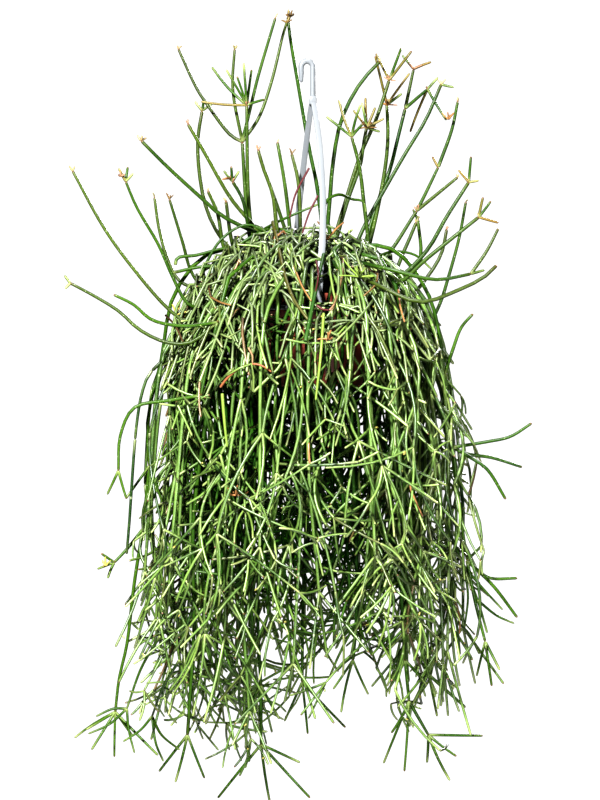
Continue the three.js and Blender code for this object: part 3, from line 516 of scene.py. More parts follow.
# Young shoots over the front of the bush: their colour, radius and the points (x, z) that they run through.
YOUNG_SHOOTS = [
    ((*YELLOW, 0.7), 1.1, [(-24, -177), (-19, -198), (-11, -223)]),
    ((*ORANGE, 0.8), 1.2, [(-11, -222), (-5, -237), (4, -252)]),
    (RED, 1.2, [(9, -209), (11, -225), (7, -247)]),
    (RED, 1.3, [(9, -256), (15, -260), (22, -261)]),
    (PINK, 1.2, [(22, -261), (25, -257), (27, -254)]),
    ((*OLIVE, 0.9), 2.2, [(-35, -167), (-15, -247), (1, -271)]),
    (DEEP_GREEN, 2.3, [(-2, -292), (6, -252), (20, -186)]),
    ((*BROWN, 0.9), 1.3, [(20, -186), (16, -174), (10, -167)]),
    (ORANGE, 1.2, [(20, -186), (30, -174), (38, -167)]),
    (RUST, 1.4, [(-86, -337), (-80, -329), (-68, -319), (-54, -314), (-44, -316), (-35, -322)]),
    ((*PINK, 0.8), 1.2, [(-58, -298), (-54, -306), (-54, -314)]),
    (RED, 1.1, [(62, -190), (56, -199), (50, -208)]),
    (RED, 1.2, [(2, -113), (-12, -140), (-18, -164)]),
    (RED, 1.1, [(11, -141), (2, -159), (-5, -180)]),
    (GREEN, 1.7, [(17, -166), (19, -147), (32, -139), (48, -143), (58, -144), (61, -156)]),
    (GREEN, 1.7, [(-72, -190), (-47, -175), (-25, -165), (11, -150)]),
    (GREEN, 1.7, [(-61, -190), (-58, -182), (-44, -175), (-25, -175), (-4, -186), (3, -198)]),
    (GREEN, 1.8, [(-136, -210), (-134, -203), (-114, -200), (-86, -193), (-70, -194)]),
    (GREEN, 1.8, [(-138, -218), (-110, -212), (-87, -212), (-60, -214)]),
    (GREEN, 1.6, [(-110, -222), (-104, -208), (-88, -183), (-62, -168), (-30, -188)]),
    (GREEN, 1.6, [(66, -206), (90, -196), (112, -200), (128, -214)]),
    ((*BROWN, 0.9), 1.2, [(-96, -214), (-100, -232), (-97, -247)]),
    ((*ORANGE, 0.8), 1.2, [(-97, -246), (-86, -252), (-76, -255)]),
    (ORANGE, 1.2, [(92, -238), (93, -255), (97, -272)]),
    ((*ORANGE, 0.7), 1.3, [(72, -218), (68, -234), (56, -246)]),
    ((*BROWN, 0.9), 1.2, [(-146, -262), (-134, -274), (-124, -292)]),
    ((*FRESH, 0.8), 1.8, [(-84, -343), (-82, -368), (-79, -396)]),
    ((*FRESH, 0.8), 1.7, [(16, -264), (13, -305), (8, -350)]),
    (GREEN, 1.7, [(138, -470), (158, -512), (176, -556), (186, -590)]),
    (GREEN, 1.5, [(160, -518), (178, -540), (202, -566)]),
    (GREEN, 1.5, [(176, -556), (196, -572), (214, -580)]),
    (GREEN, 1.5, [(158, -512), (166, -548), (162, -588)]),
    (GREEN, 1.6, [(140, -540), (152, -575), (158, -612)]),
    (GREEN, 1.5, [(152, -575), (168, -592), (178, -612)]),
    (GREEN, 1.6, [(-150, -590), (-172, -628), (-186, -668)]),
    (GREEN, 1.5, [(-186, -668), (-204, -684), (-226, -694)]),
    (GREEN, 1.5, [(-186, -668), (-200, -668), (-218, -676)]),
    (GREEN, 1.5, [(-186, -668), (-184, -690), (-178, -714)]),
    (GREEN, 1.6, [(-128, -610), (-146, -640), (-160, -676)]),
    (GREEN, 1.5, [(-160, -676), (-172, -690), (-190, -702)]),
    (GREEN, 1.5, [(-160, -676), (-156, -700), (-146, -716)]),
    (GREEN, 1.5, [(-160, -676), (-148, -690), (-128, -700)]),
]
HEADS_FROM = -175  # shoots that end over this height carry a few short young twigs
HEAD_COLOURS = [TAN, PINK, (*BROWN, 0.8), (*TAN, 0.6)]

# Clusters of young twigs: their colour, number, length and place. With no y they are at the front.
YOUNG_CLUSTERS = [
    (FRESH, 11, 26, (52, None, -226)),
    (YELLOW, 6, 16, (-134, None, -262)),
    (ORANGE, 6, 15, (-70, None, -443)),
    (ORANGE, 5, 12, (20, None, -290)),
    (PINK, 4, 9, (-187, -84, -124)),
    (ORANGE, 5, 11, (-79, -24, -121)),
    ((*BROWN, 0.8), 8, 14, (62, -2, -66)),
    (ORANGE, 6, 13, (84, 25, -39)),
    (PINK, 5, 11, (113, 44, 1)),
    (PINK, 4, 9, (86, 10, -15)),
    (YELLOW, 4, 12, (-208, None, -521)),
    ((*BROWN, 0.8), 5, 10, (-17, 40, 56)),
    ((*BROWN, 0.8), 4, 9, (-21, 40, 49)),
    (ORANGE, 4, 11, (146, -22, -60)),
]


def arc(start, end, draw, bulge=0.05):
    """A gently bent line between two points."""
    start, end = np.asarray(start, float), np.asarray(end, float)
    run = end - start
    aside = np.cross(run, unit(stray(draw)))
    t = np.linspace(0, 1, 7)[:, None]
    return start + run * t + aside * bulge * (draw() - 0.2) * 4 * t * (1 - t)


def leaning(heading, lean, around):
    """A direction that leans away from a stem's heading, to the side that is `around` radians round it."""
    side = turned(unit(np.cross((1.0, 0, 0), heading)), heading, around)
    return heading * math.cos(lean) + side * math.sin(lean)


def twig_heading(heading, around, draw, leans):
    return leaning(heading, math.radians(mix(*leans, draw())), around)


def twig_ends(spot, heading, around, draw):
    """The two ends of a twig that the solids have."""
    lean = math.radians(mix(*TWIG_LEAN, draw()))
    length = mix(*TWIG_LENGTH, draw())
    away = leaning(heading, lean, around + (draw() - 0.5) * TWIG_TURN)
    return spot - heading * ROOTED, spot + away * length


def drooping(start, heading, length, droop, draw, wander=1.4, steps=7):
    """A line out along `heading`, which strays by `wander` and droops, or rises if `droop` is negative."""
    aside = stray(draw) * wander
    line = [np.asarray(start, float)]
    for _ in range(steps):
        heading = unit(heading + (aside + (0, 0, -droop)) / steps)
        line.append(line[-1] + heading * length / steps)
    return np.array(line)


def twig_part(line, draw, tone=None, young=GREEN, radius=TWIG):
    """A twig with a narrow neck, whose tip is pale or dried brown."""
    shade = at_least(*TWIG_TONE, draw) if tone is None else tone
    tip = draw()
    pale = -1 if tip < BROWN_TIPS else PALE_TIPS[0] + PALE_TIPS[1] * tip**2
    return Part(line, radius, radius * TWIG_TAPER, TWIG_NECK, shade, pale, young, "twig")


def mound_height(radius):
    """The height of the mound of stems over the pot, at a distance from its middle."""
    return MOUND.top - MOUND.fall * (radius / MOUND.radius) ** MOUND.power


def hanging_axis(root, heading, fall, draw, longer=HANG.longer):
    """A stem that stands in its crown, bows over the rim towards `heading` and hangs to the curtain's end, at
    the distance `fall` from the pot's axis."""
    foot = np.array([*root, CROWN_TOP - CROWN_SUNK], float)
    hang = np.array([math.cos(heading) * fall - HANG.leftward, math.sin(heading) * fall, 0])
    out = (hang - foot) * (1, 1, 0)
    depth = HANG.depth * draw()
    end = mix(HANG.highest_end, value_at(LOWER_EDGE, hang[0]) + HANG.over_edge, draw() ** longer)

    def on_mound(share):
        x, y = (foot + out * share)[:2]
        return [x, y, mound_height(math.hypot(x, y)) - depth]

    leaving = [*(foot + out * HANG.leave)[:2], SOIL_TOP + HANG.lift]
    knots = [foot, leaving, on_mound(HANG.crest), on_mound(HANG.turn)]
    top = mound_height(fall) - depth - HANG.shoulder_drop
    bends = max(1, math.floor((top - end) / HANG.bend + 0.5))
    for i in range(bends + 1):
        z = mix(top, end, i / bends)
        spread = 1 + HANG.spread * (1 - math.exp((z - top) / HANG.spread_over))
        sway = HANG.sway if i else HANG.sway_top
        dx, dy = ((draw() * 2 - 1) * sway for _ in "xy")
        knots.append([hang[0] * spread + dx, hang[1] * spread + dy, z])
    return np.array([list(k) for k in knots], float)


Plant = namedtuple("Plant", "name root radius ring heading shoots parts")


def all_plants():
    """Every plant's place in the soil: the sprays', then the rings of clumps."""
    plants = [Plant(name, root, SPRAY_CROWN, None, 0, shoots, []) for name, root, shoots in SPRAYS]
    number = 0
    for ring in RINGS:
        for place in range(ring.count):
            number += 1
            heading = math.radians(ring.start + ring.step * place)
            root = around_axis(heading, ring.radius)
            plants.append(Plant(f"clump_{number:02d}", root, CLUMP_CROWN, ring, heading, None, []))
    return plants


def hook_path(steps=HOOK_STEPS):
    """The middle line of the hook, from its tip round the bend and down the shank."""
    path = [(-HOOK_BEND, 0, HOOK_TIP), (-HOOK_BEND, 0, HOOK_CENTRE - HOOK_STRAIGHT)]
    for i in range(steps + 1):
        turn = math.pi * i / steps
        path.append((-HOOK_BEND * math.cos(turn), 0, HOOK_CENTRE + HOOK_BEND * math.sin(turn)))
    return path + [(HOOK_BEND, 0, SHANK_END)]


def grow_spray(plant, node, thicket):
    """The shoots of a spray with the twigs at their heads."""
    base = (*plant.root, CROWN_TOP - CROWN_SUNK)
    ends = []
    stem = 0
    for number, (source, axis, tips) in enumerate(plant.shoots):
        knots = np.array([base if source is None else ends[source], *axis], float)
        thick = SHOOT if source is None else ARM
        steps = 1 if len(knots) == 2 else math.floor((len(knots) - 1) * STEPS_PER_POINT + 0.5)
        solid = list(curve_through(knots, steps))
        ends.append(knots[-1])
        look = draws(node, number, SHOOT_LOOK)
        upright = knots[-1][2] > RIM_TOP
        tone = at_least(*(UPRIGHT_TONE if upright else LOW_TONE), look)
        tint = (*OLIVE, OLIVE_COVER * look()) if upright else GREEN
        line = curve_through(knots, FINE * (len(knots) - 1))
        plant.parts.append(Part(line, thick, thick * TAPER, SHOOT_NECK, tone, -1, tint, "shoot"))
        heading = end_heading(knots)
        rest = []
        for k, (x, z) in enumerate(tips):
            draw = draws(node, number, k)
            reach = math.hypot(x - knots[-1][0], z - knots[-1][2])
            tip = (x, knots[-1][1] + (draw() - 0.5) * TIP_DEPTH * reach, z)
            ends_of_twig = (knots[-1] - heading * ROOTED, np.array(tip, float))
            if k == 0:
                solid.append(np.array(tip))
            else:
                rest.append(ends_of_twig)
            young = GREEN
            if look() < OCHRE_TWIGS and upright:
                young = (*OCHRE, at_least(*OCHRE_COVER, look))
            plant.parts.append(twig_part(arc(*ends_of_twig, draw), draw, tone + 0.1, young))
        thicket.add(node, stem, solid, thick)
        for twig in rest:
            stem += 1
            thicket.add(node, stem, twig, TWIG)
        stem += 1


def hang_parts(plant, knots, look, tone):
    """A hanging stem as its joints, each from one bend to the next."""
    line = curve_through(knots, FINE * (len(knots) - 1))
    last = len(line) - 1
    cuts = [0, *range(FIRST_JOINT * FINE, last + 1, FINE)]
    if cuts[-1] != last:
        cuts.append(last)
    for i, (a, b) in enumerate(zip(cuts, cuts[1:])):
        thick, thin = (mix(HANGING, HANGING * TAPER, at / last) for at in (a, b))
        neck, kind = (SHOOT_NECK, "hanging") if i else (1, "shoot")
        shade = min(1, max(0, tone + JOINT_TONES * (look() - 0.5)))
        plant.parts.append(Part(line[a : b + 1], thick, thin, neck, shade, 0.1, GREEN, kind))


def grow_hanging(plant, node, number, thicket):
    """One hanging stem of the solids with its whorls, drawn again until it is clear of what is there."""
    ring = plant.ring
    for attempt in range(STEM_TRIES):
        draw = draws(node, number, attempt)
        swing = math.radians(ring.step * mix(*SWING, attempt / STEM_TRIES))
        towards = plant.heading + (draw() * 2 - 1) * swing
        share = (number + draw()) / ring.stems if attempt < STEM_TRIES / 2 else draw()
        knots = hanging_axis(plant.root, towards, mix(ring.fall_min, ring.fall_max, share), draw)
        points = curve_through(knots, len(knots) - 1)
        if not thicket.is_clear(node, number, points, HANGING):
            continue
        thicket.add(node, number, points, HANGING)
        look = draws(node, number, HANGING_LOOK)
        hang_parts(plant, knots, look, at_least(*HANGING_TONE, look))
        last = len(points) - 1
        for level, (at, count, chance) in enumerate(WHORLS):
            if draws(node, number, level)() > chance:
                continue
            joint = math.floor(at * last + 0.5)
            spot = points[joint]
            heading = unit(spot - points[joint - 1])
            for i in range(count):
                for again in range(TWIG_TRIES):
                    draw = draws(node, number, level, i, again)
                    ends = twig_ends(spot, heading, i * 2 * math.pi / count, draw)
                    if thicket.is_clear(node, number, ends, TWIG):
                        thicket.add(node, number, ends, TWIG)
                        plant.parts.append(twig_part(arc(*ends, draw), draw))
                        break
        return


def grow_solids(plants):
    """Grows the stems that the solids have, as they stand there."""
    thicket = Thicket()
    for path in (LEG_FRONT, LEG_BACK, hook_path()):
        thicket.add(-1, 0, path, KEEP_OFF)
    for node, plant in enumerate(plants):
        post = [(*plant.root, CROWN_BOTTOM), (*plant.root, CROWN_TOP)]
        thicket.add(node, -1, post, plant.radius / CORNER)
    for node, plant in enumerate(plants):
        if plant.shoots:
            grow_spray(plant, node, thicket)
    for number in range(max(ring.stems for ring in RINGS)):
        for node, plant in enumerate(plants):
            if plant.ring and number < plant.ring.stems:
                grow_hanging(plant, node, number, thicket)


# ---------------------------------------------------------------- the stems that only the finished plant has

EXTRA = 1000  # first key of the draws for these stems
EXTRA_LONGER = 1.25  # fewer of them reach the curtain's lower edge
EXTRA_FINE = 6  # steps of their middle lines for each point
NEARER, FARTHER = 4, 3  # how much nearer to the pot and farther from it they may hang than the solids' stems
THIN_BEYOND, THINNED = -118, 0.9  # this share of those that hang to the left of this x is left out

# The joints of a hanging stem.
STOUT = (0.8, 1)  # radius of a stem, as a share of the solids' stems
THINNER = 0.25  # how much of its radius it loses down to its end
FIRST_WHORL = (44, 150)  # its length up to the first whorl
JOINT = (70, 128)  # its length from one whorl to the next
LAST_JOINT = 34  # the least length of its last joint
FIRST_POINTS, JOINT_POINTS = 16, 9  # points of the first joint's middle line, and of each other's
JOINT_TRIES = 5
ASIDE, ASIDE_LESS = 80, 0.18  # how far a joint may lead aside of the last, and what each new try takes off it
BOW = 11  # how far a joint bows from the straight line between its whorls
LEAVING = 4  # first points of a joint that may lie outside the bush
JOINT_TAPER, JOINT_NECK, JOINT_PALE = 0.92, 0.78, 0.12
TONE_SPREAD = 0.3  # how much lighter or darker one joint may be than the next

# Whorls: how far their twigs lean, in degrees, and their length, droop, radius and wander.
Whorl = namedtuple("Whorl", "leans lengths droop radius wander")
BRANCHES = Whorl((16, 72), (42, 104), 0.3, 1.5, 1.5)
STARS = Whorl((14, 72), (36, 88), 0.12, 1.4, 1.4)
SPRIGS = Whorl((18, 70), (20, 52), 0.0, 1.3, 1.4)
OVER = Whorl((34, 110), (40, 104), 0.3, 1.55, 3.6)
JOINT_TWIGS = (1, 2, 3, 3, 4, 5)
END_TWIGS = (2, 3, 4, 4, 5)
SPRIG_TWIGS = (2, 2.6)
ONWARD = 0.42  # share of the twigs that carry a whorl of their own
UNEVEN = 0.7  # how unevenly the twigs of a whorl stand round it
TWIG_THICKNESS = (0.85, 0.25)
SKIN = (-15, 11)  # how far over the mound its twigs may lie
HUMP, HUMP_RARE = (2, 42), 2.5  # how far they rise between their ends, and how rare a high one is
SETTLED = 2.2  # they lie on the mound from this fraction of their length on
TINTS = [(0.003, ORANGE), (0.022, (*BROWN, 0.8)), (0.09, (*FRESH, 0.5)), (0.2, (*OLIVE, 0.5))]  # by chance

# The outline of the bush. Its tables go by the depth under the hook's seat.
REACH = [(290, 155), (400, 180)]  # how far loose stems reach from its axis
FLARE = [(440, 0), (560, 20), (610, 10), (680, -8)]  # how much further they reach at the right
LEFT_EDGE = [(180, 108), (240, 122), (300, 138), (400, 146), (460, 172), (600, 182)]
TWIGS_BEYOND = (9, 15)  # how much further their twigs reach at the left and at the right
TWIGS_FREE = [(290, 0), (400, 1)]  # the share of it that they reach
UNDER_EDGE = 18
OVER_MOUND, MOUND_END = 25, 168  # how high over the mound they may lie, up to this distance from the axis
FLARE_LEAD = 8  # how far each joint leads outward, beyond this x and between these heights
FLARE_BEYOND, FLARE_FROM, FLARE_TO = 60, -400, -590
SHOULDER = [(64, 0), (120, 18)]  # how much lower they lie than the solids', by distance from the pot's axis
LEVEL_FROM = 170  # the mound sinks no lower from this distance on

# Places at the front that loose stems keep out of, as the strap and the ring show there: x and z from and
# to, and the y from which on the stems would hide them.
OPENINGS = [(9, 22, -200, -130, -56), (7, 18, -255, -200, -74), (-44, -20, -263, -249, -66)]

# The short stems that arch over the mound. Distances are from the pot's axis.
ARCH_FOOT = (10, 54)  # where they stand: the least distance, and how much more at most
ARCH_REACH = (14, 92)  # how much further out they end
ARCH_TURN, ARCH_FAR = (2.4, 0.9), 160  # how far round they may lead, in radians, the last at this distance
ARCH_DEPTH, ARCH_HIGHER, ARCH_RARE = 24, 9, 1.6  # how deep under the mound's skin, and how much less
ARCH_KNOTS = [(0.06, 0.5), (0.4, 1), (0.75, 1)]  # shares of the way out, and of the height reached there
ARCH_STRAY = (28, 28, 8)
ARCH_SINKS, ARCH_DROOPS, ARCH_DROOPS_AT = 4, 30, 150  # how far they sink, and how much more at this distance
ARCH_FINE = 18
ARCH_RADIUS, ARCH_TAPER = (1.6, 2.05), 0.85
ARCH_TONE, ARCH_PALE = 0.65, 0.3
ARCH_TWIGS = (2, 4)

# Young growth.
IN_FRONT, LEAST_FRONT = 4, 20  # how far it lies before the mound, and how far before the axis at least
YOUNG_FINE = 14
YOUNG_TAPER = 0.7
HEAD_TWIGS = (1, 3)
HEAD_LENGTH = (3, 8)
HEAD_LEANS, CLUSTER_LEANS = (4, 58), (12, 100)
CLUSTER_RADIUS = (0.8, 1.3)


def free_way(spots):
    """True for each spot that is clear of the pot and of the places where the hanger shows."""
    x, y, z = spots.T
    shut = [(x > a) & (x < b) & (z > low) & (z < high) & (y < before) for a, b, low, high, before in OPENINGS]
    return clear_of_pot(spots) & ~np.any(shut, axis=0)


def from_axis(spots):
    """How far each spot is from the bush's axis."""
    return np.hypot(spots[:, 0] + HANG.leftward, spots[:, 1])


def skin_height(radius):
    """The height that the short stems over the mound lie at, at a distance from its middle."""
    return mound_height(np.minimum(radius, LEVEL_FROM)) - value_at(SHOULDER, radius)


def within_bush(spots, beyond=(0, 0)):
    """True for each spot in the outline of the whole bush, or not too far beyond its left or right."""
    x, z, radius = spots[:, 0], spots[:, 2], from_axis(spots)
    reach = value_at(REACH, -z) + value_at(FLARE, -z) * (x > 0)
    reach = reach + value_at(TWIGS_FREE, -z) * np.where(x < 0, *beyond)
    left = value_at(LEFT_EDGE, -z) + beyond[0]
    edge = value_at(LOWER_EDGE, x) - UNDER_EDGE
    over = skin_height(radius) + OVER_MOUND
    return (radius < reach) & (x > -left) & (z > edge) & ((z < over) | (radius > MOUND_END))


def tinted(draw):
    """The colour of young or dry growth over a twig's green. Most twigs have none."""
    chance = draw()
    return next((tint for upto, tint in TINTS if chance < upto), GREEN)


def laid_over(line, draw):
    """A twig's line, bent to lie along the top of the mound from its foot on."""
    share = np.linspace(0, 1, len(line))
    top = skin_height(np.hypot(line[:, 0], line[:, 1])) + mix(*SKIN, draw())
    top = top + mix(*HUMP, draw() ** HUMP_RARE) * np.sin(math.pi * share)
    laid = line.copy()
    laid[:, 2] = mix(line[:, 2], top, np.minimum(1, share * SETTLED))
    return laid


def grow_whorl(plant, spot, heading, count, draw, kind):
    """A whorl of twigs at a joint. Some twigs carry a smaller whorl of their own."""
    start = draw() * 2 * math.pi
    for i in range(count):
        around = start + (i + UNEVEN * (draw() - 0.5)) * 2 * math.pi / count
        out = twig_heading(heading, around, draw, kind.leans)
        length = mix(*kind.lengths, draw())
        line = drooping(spot - heading * ROOTED, out, length, kind.droop, draw, kind.wander)
        tint = tinted(draw)
        if kind is OVER:
            line = laid_over(line, draw)
            # painted highlight: green twigs laid over the mound take the pale tint of the top light
            tint = PAINTED_TOP_LIGHT if tint is GREEN else tint
        part = twig_part(line, draw, young=tint, radius=kind.radius * at_least(*TWIG_THICKNESS, draw))
        if not (free_way(line[2:]).all() and within_bush(line, TWIGS_BEYOND).all()):
            continue
        plant.parts.append(part)
        if kind is not SPRIGS and draw() < ONWARD:
            grow_whorl(plant, line[-1], end_heading(line), some(*SPRIG_TWIGS, draw), draw, SPRIGS)


def grow_more_hanging(plant, node, spread):
    """The clump's other hanging stems, clear of the pot, with whorls at their joints and ends."""
    ring = plant.ring
    for k in range(ring.extra):
        for attempt in range(STEM_TRIES):
            draw = draws(node, EXTRA + k, attempt)
            towards = plant.heading + (draw() * 2 - 1) * math.radians(ring.step) * spread
            fall = mix(ring.fall_min - NEARER, ring.fall_max + FARTHER, draw())
            knots = hanging_axis(plant.root, towards, fall, draw, EXTRA_LONGER)
            line = curve_through(knots, EXTRA_FINE * (len(knots) - 1))
            line[:, 2] -= value_at(SHOULDER, np.hypot(line[:, 0], line[:, 1]))
            if free_way(line[2:]).all():
                if line[len(line) // 2][0] > THIN_BEYOND or draw() > THINNED:
                    grow_joints(plant, line, draw)
                break


def whorl_places(length, draw):
    """How far along a stem its joints begin, and where the last one ends."""
    places = [0]
    at = mix(*FIRST_WHORL, draw())
    while at < length - LAST_JOINT:
        places.append(at)
        at += mix(*JOINT, draw())
    return [*places, length]


def led_aside(piece, share, aside, draw, first):
    """A joint that begins `aside` of its place and leads elsewhere, and how far aside it ends. A stem's first
    joint stays in its place."""
    x, _, z = piece[0]
    lead = FLARE_LEAD if x > FLARE_BEYOND and FLARE_TO < z < FLARE_FROM else 0
    for attempt in range(JOINT_TRIES):
        far = 0 if first else ASIDE * (1 - ASIDE_LESS * attempt)
        shift = aside + stray(draw, 2) * far + (lead, 0, 0)
        bow = stray(draw, 2) * (0 if first else 8 * BOW)
        led = piece + aside * (1 - share) + shift * share + bow * share * (1 - share)
        if first or within_bush(led[LEAVING:]).all() and free_way(led).all():
            return led, shift
    return piece + aside * (1 - share), 0 * aside


def grow_joints(plant, line, draw):
    """A hanging stem as its joints, each a little aside of the last, with a whorl where two meet."""
    reached = lengths_along(line)
    tone = draw()
    stout = HANGING * mix(*STOUT, draw())
    length = reached[-1]
    cuts = whorl_places(length, draw)
    aside = np.zeros(3)
    for i, (begin, end) in enumerate(zip(cuts, cuts[1:])):
        where = np.linspace(begin, end, JOINT_POINTS if i else FIRST_POINTS)
        share = ((where - begin) / (end - begin))[:, None]
        piece, aside = led_aside(spots_along(line, reached, where), share, aside, draw, i == 0)
        thick = stout * (1 - THINNER * begin / length)
        neck, kind = (JOINT_NECK, "hanging") if i else (1, "shoot")
        shade = min(1, max(0, tone + TONE_SPREAD * (draw() - 0.5)))
        plant.parts.append(Part(piece, thick, thick * JOINT_TAPER, neck, shade, JOINT_PALE, GREEN, kind))
        if i == len(cuts) - 2:
            grow_whorl(plant, piece[-1], end_heading(piece), pick(END_TWIGS, draw), draw, STARS)
        else:
            whorl = BRANCHES if piece[-1][2] < MOUND.top - MOUND.fall else OVER
            grow_whorl(plant, piece[-1], end_heading(piece), pick(JOINT_TWIGS, draw), draw, whorl)


def grow_mound(plant, key, count, headings):
    """Short stems that rise from the soil and arch over the rim in all directions."""
    for k in range(count):
        draw = draws(key, k)
        heading = mix(*headings, draw())
        start = ARCH_FOOT[0] + ARCH_FOOT[1] * math.sqrt(draw())
        reach = start + mix(*ARCH_REACH, draw())
        aside = heading + (draw() * 2 - 1) * mix(*ARCH_TURN, reach / ARCH_FAR)
        depth = ARCH_DEPTH * draw() ** ARCH_RARE - ARCH_HIGHER
        foot, end = around_axis(heading, start), around_axis(aside, reach)
        knots = [(*foot, SOIL_TOP - CROWN_SUNK)]
        for share, lift in ARCH_KNOTS:
            x, y = mix(foot[0], end[0], share), mix(foot[1], end[1], share)
            z = mix(SOIL_TOP, skin_height(math.hypot(x, y)) - depth, lift)
            knots.append((x, y, z) + stray(draw) * ARCH_STRAY)
        droop = ARCH_DROOPS * draw() * (reach / ARCH_DROOPS_AT) ** 2
        knots.append((*end, skin_height(reach) - depth - ARCH_SINKS - droop))
        line = curve_through(knots, ARCH_FINE)
        if not free_way(line[3:]).all():
            continue
        thick = mix(*ARCH_RADIUS, draw())
        # painted highlight: some of the pale top-light tint over the arch's green
        tint = (*PAINTED_TOP_LIGHT[:3], PAINTED_TOP_LIGHT[3] * draw())
        tone = ARCH_TONE * draw()
        plant.parts.append(Part(line, thick, thick * ARCH_TAPER, 1, tone, ARCH_PALE, tint, "shoot"))
        grow_whorl(plant, line[-1], end_heading(line), some(*ARCH_TWIGS, draw), draw, OVER)


def front_of_bush(x, z):
    """The point on the side of the bush towards the front that has this x and z."""
    share = min(1, max(0.05, (MOUND.top - z) / MOUND.fall))
    radius = MOUND.radius * share ** (1 / MOUND.power) + IN_FRONT
    return np.array([x, -math.sqrt(max(radius**2 - x**2, LEAST_FRONT**2)), z])


def grow_young(plant):
    """Young and dry growth that stands out by its colour."""
    draw = draws(600)
    for colour, radius, points in YOUNG_SHOOTS:
        line = curve_through([front_of_bush(*point) for point in points], YOUNG_FINE)
        tone = at_least(0.4, 0.2, draw)
        plant.parts.append(Part(line, radius, radius * YOUNG_TAPER, 0.9, tone, 0.2, colour, "shoot"))
    ends = [axis[-1] for _, _, shoots in SPRAYS for _, axis, _ in shoots]
    tops = [
        (pick(HEAD_COLOURS, draw), some(*HEAD_TWIGS, draw), mix(*HEAD_LENGTH, draw()), end)
        for end in ends if end[2] > HEADS_FROM
    ]
    for colour, count, length, (x, y, z) in YOUNG_CLUSTERS + tops:
        spot = front_of_bush(x, z) if y is None else np.array([x, y, z], float)
        start = draw() * 2 * math.pi
        leans = CLUSTER_LEANS if length > HEAD_LENGTH[1] else HEAD_LEANS
        for i in range(count):
            out = twig_heading(UP, start + (i + 0.6 * draw()) * 2 * math.pi / count, draw, leans)
            line = drooping(spot, out, length * at_least(0.5, 0.5, draw), -0.2, draw)
            thick = mix(*CLUSTER_RADIUS, draw())
            plant.parts.append(Part(line, thick, thick * YOUNG_TAPER, 0.8, 0.6, 0, colour, "twig"))


# ---------------------------------------------------------------- meshes

KINDS = {"shoot": (8, 19), "hanging": (6, 10), "twig": (6, 7), "bud": (5, 4)}  # sides and loops of a part
NECK_LENGTH, ROUNDED, CLOSING = 1.2, 2.0, 0.6  # the neck, the tip, and the last step of the tip
SHORT = 9  # on shorter parts these lengths are less
SWELL = 0.05  # how much thicker a part is in its middle
LAST_LOOP = 0.7  # radius of a tip's last loop, as a share of the part's
OFF_AXIS = (0.31, 0.2, 0.93)  # sets which way the first side of a part faces

PALE_TIP, BROWN_TIP = 9, 1.2  # how far the pale or the brown of a tip reaches
PALE_FOOT, FOOT_LENGTH = 0.35, 3

# Painted shade inside the bush: how much darker its stems are painted, from 0 at its outside to 1.
PAINTED_SHADE_UNDER = [(4, 0), (24, 1)]  # by the depth under the mound
PAINTED_SHADE_INSIDE = [(-152, 0), (-108, 1)]  # by the distance from the axis, as a negative number
PAINTED_SHADE_LOWER = [(510, 1), (700, 0.25)]  # what is left of it, by the depth under the hook's seat
PAINTED_SHADE_SHOULDER = 0.6


def blank_stem(sides, loops):
    """A straight stem of radius 1 up the Z axis, its loops 1 apart, with a flat foot and a pole."""
    bm = bmesh.new()
    bmesh.ops.create_circle(bm, cap_ends=True, segments=sides, radius=1)
    _, corners = drawn_up(bm, bm.edges[:], loops)
    bmesh.ops.pointmerge(bm, verts=corners, merge_co=(0, 0, loops))
    bmesh.ops.recalc_face_normals(bm, faces=bm.faces[:])
    return mesh_from(bm, "blank")


def drawn_up(bm, edges, loops):
    """Draws the edges up the Z axis, a loop for each unit, and gives the last one's edges and corners."""
    for _ in range(loops):
        grown = bmesh.ops.extrude_edge_only(bm, edges=edges)["geom"]
        edges = [g for g in grown if isinstance(g, bmesh.types.BMEdge)]
        corners = [g for g in grown if isinstance(g, bmesh.types.BMVert)]
        bmesh.ops.translate(bm, verts=corners, vec=(0, 0, 1))
    return edges, corners


def mesh_from(bm, name):
    """A new mesh of what is in the bmesh, which is freed."""
    mesh = bpy.data.meshes.new(name)
    bm.to_mesh(mesh)
    bm.free()
    return mesh


def unit_rows(v):
    return v / np.maximum(np.linalg.norm(v, axis=-1, keepdims=True), 1e-12)


def stations(parts, loops):
    """Where the loops of each part stand, its radius there and how far along it each is, from 0 to 1."""
    centres, radii, along = [], [], []
    for part in parts:
        reached = lengths_along(part.line)
        length = reached[-1]
        small = min(1, length / SHORT)
        middle = np.linspace(NECK_LENGTH * small, length - ROUNDED * small, loops - 2)
        at = np.array([0, *middle, length - CLOSING * small, length])
        share = at / length
        centres.append(spots_along(part.line, reached, at))
        radius = mix(part.root, part.tip, share) * (1 + SWELL * np.sin(math.pi * share))
        radius[0] *= part.neck
        radius[-2] *= LAST_LOOP
        radius[-1] = 0
        radii.append(radius)
        along.append(share)
    return np.array(centres), np.array(radii), np.array(along)


def bent_stems(blank, parts, loops):
    """The blank's corners, bent along every part in turn, and how far along the part each of them is."""
    corners = np.empty(len(blank.vertices) * 3)
    blank.vertices.foreach_get("co", corners)
    corners = corners.reshape(-1, 3)
    loop = np.rint(corners[:, 2]).astype(int)
    centres, radii, along = stations(parts, loops)
    tangents = np.empty_like(centres)
    tangents[:, 1:-1] = unit_rows(centres[:, 2:] - centres[:, :-2])
    tangents[:, 0] = unit_rows(centres[:, 1] - centres[:, 0])
    tangents[:, -1] = unit_rows(centres[:, -1] - centres[:, -2])
    across = np.empty_like(centres)
    carried = unit_rows(np.cross(tangents[:, 0], OFF_AXIS) + 1e-3)
    for i in range(centres.shape[1]):
        carried = unit_rows(carried - (carried * tangents[:, i]).sum(1, keepdims=True) * tangents[:, i])
        across[:, i] = carried
    deep = np.cross(tangents, across)
    wide = radii[:, loop, None]
    spots = centres[:, loop] + wide * (across[:, loop] * corners[:, :1] + deep[:, loop] * corners[:, 1:2])
    return spots.reshape(-1, 3), along[:, loop]


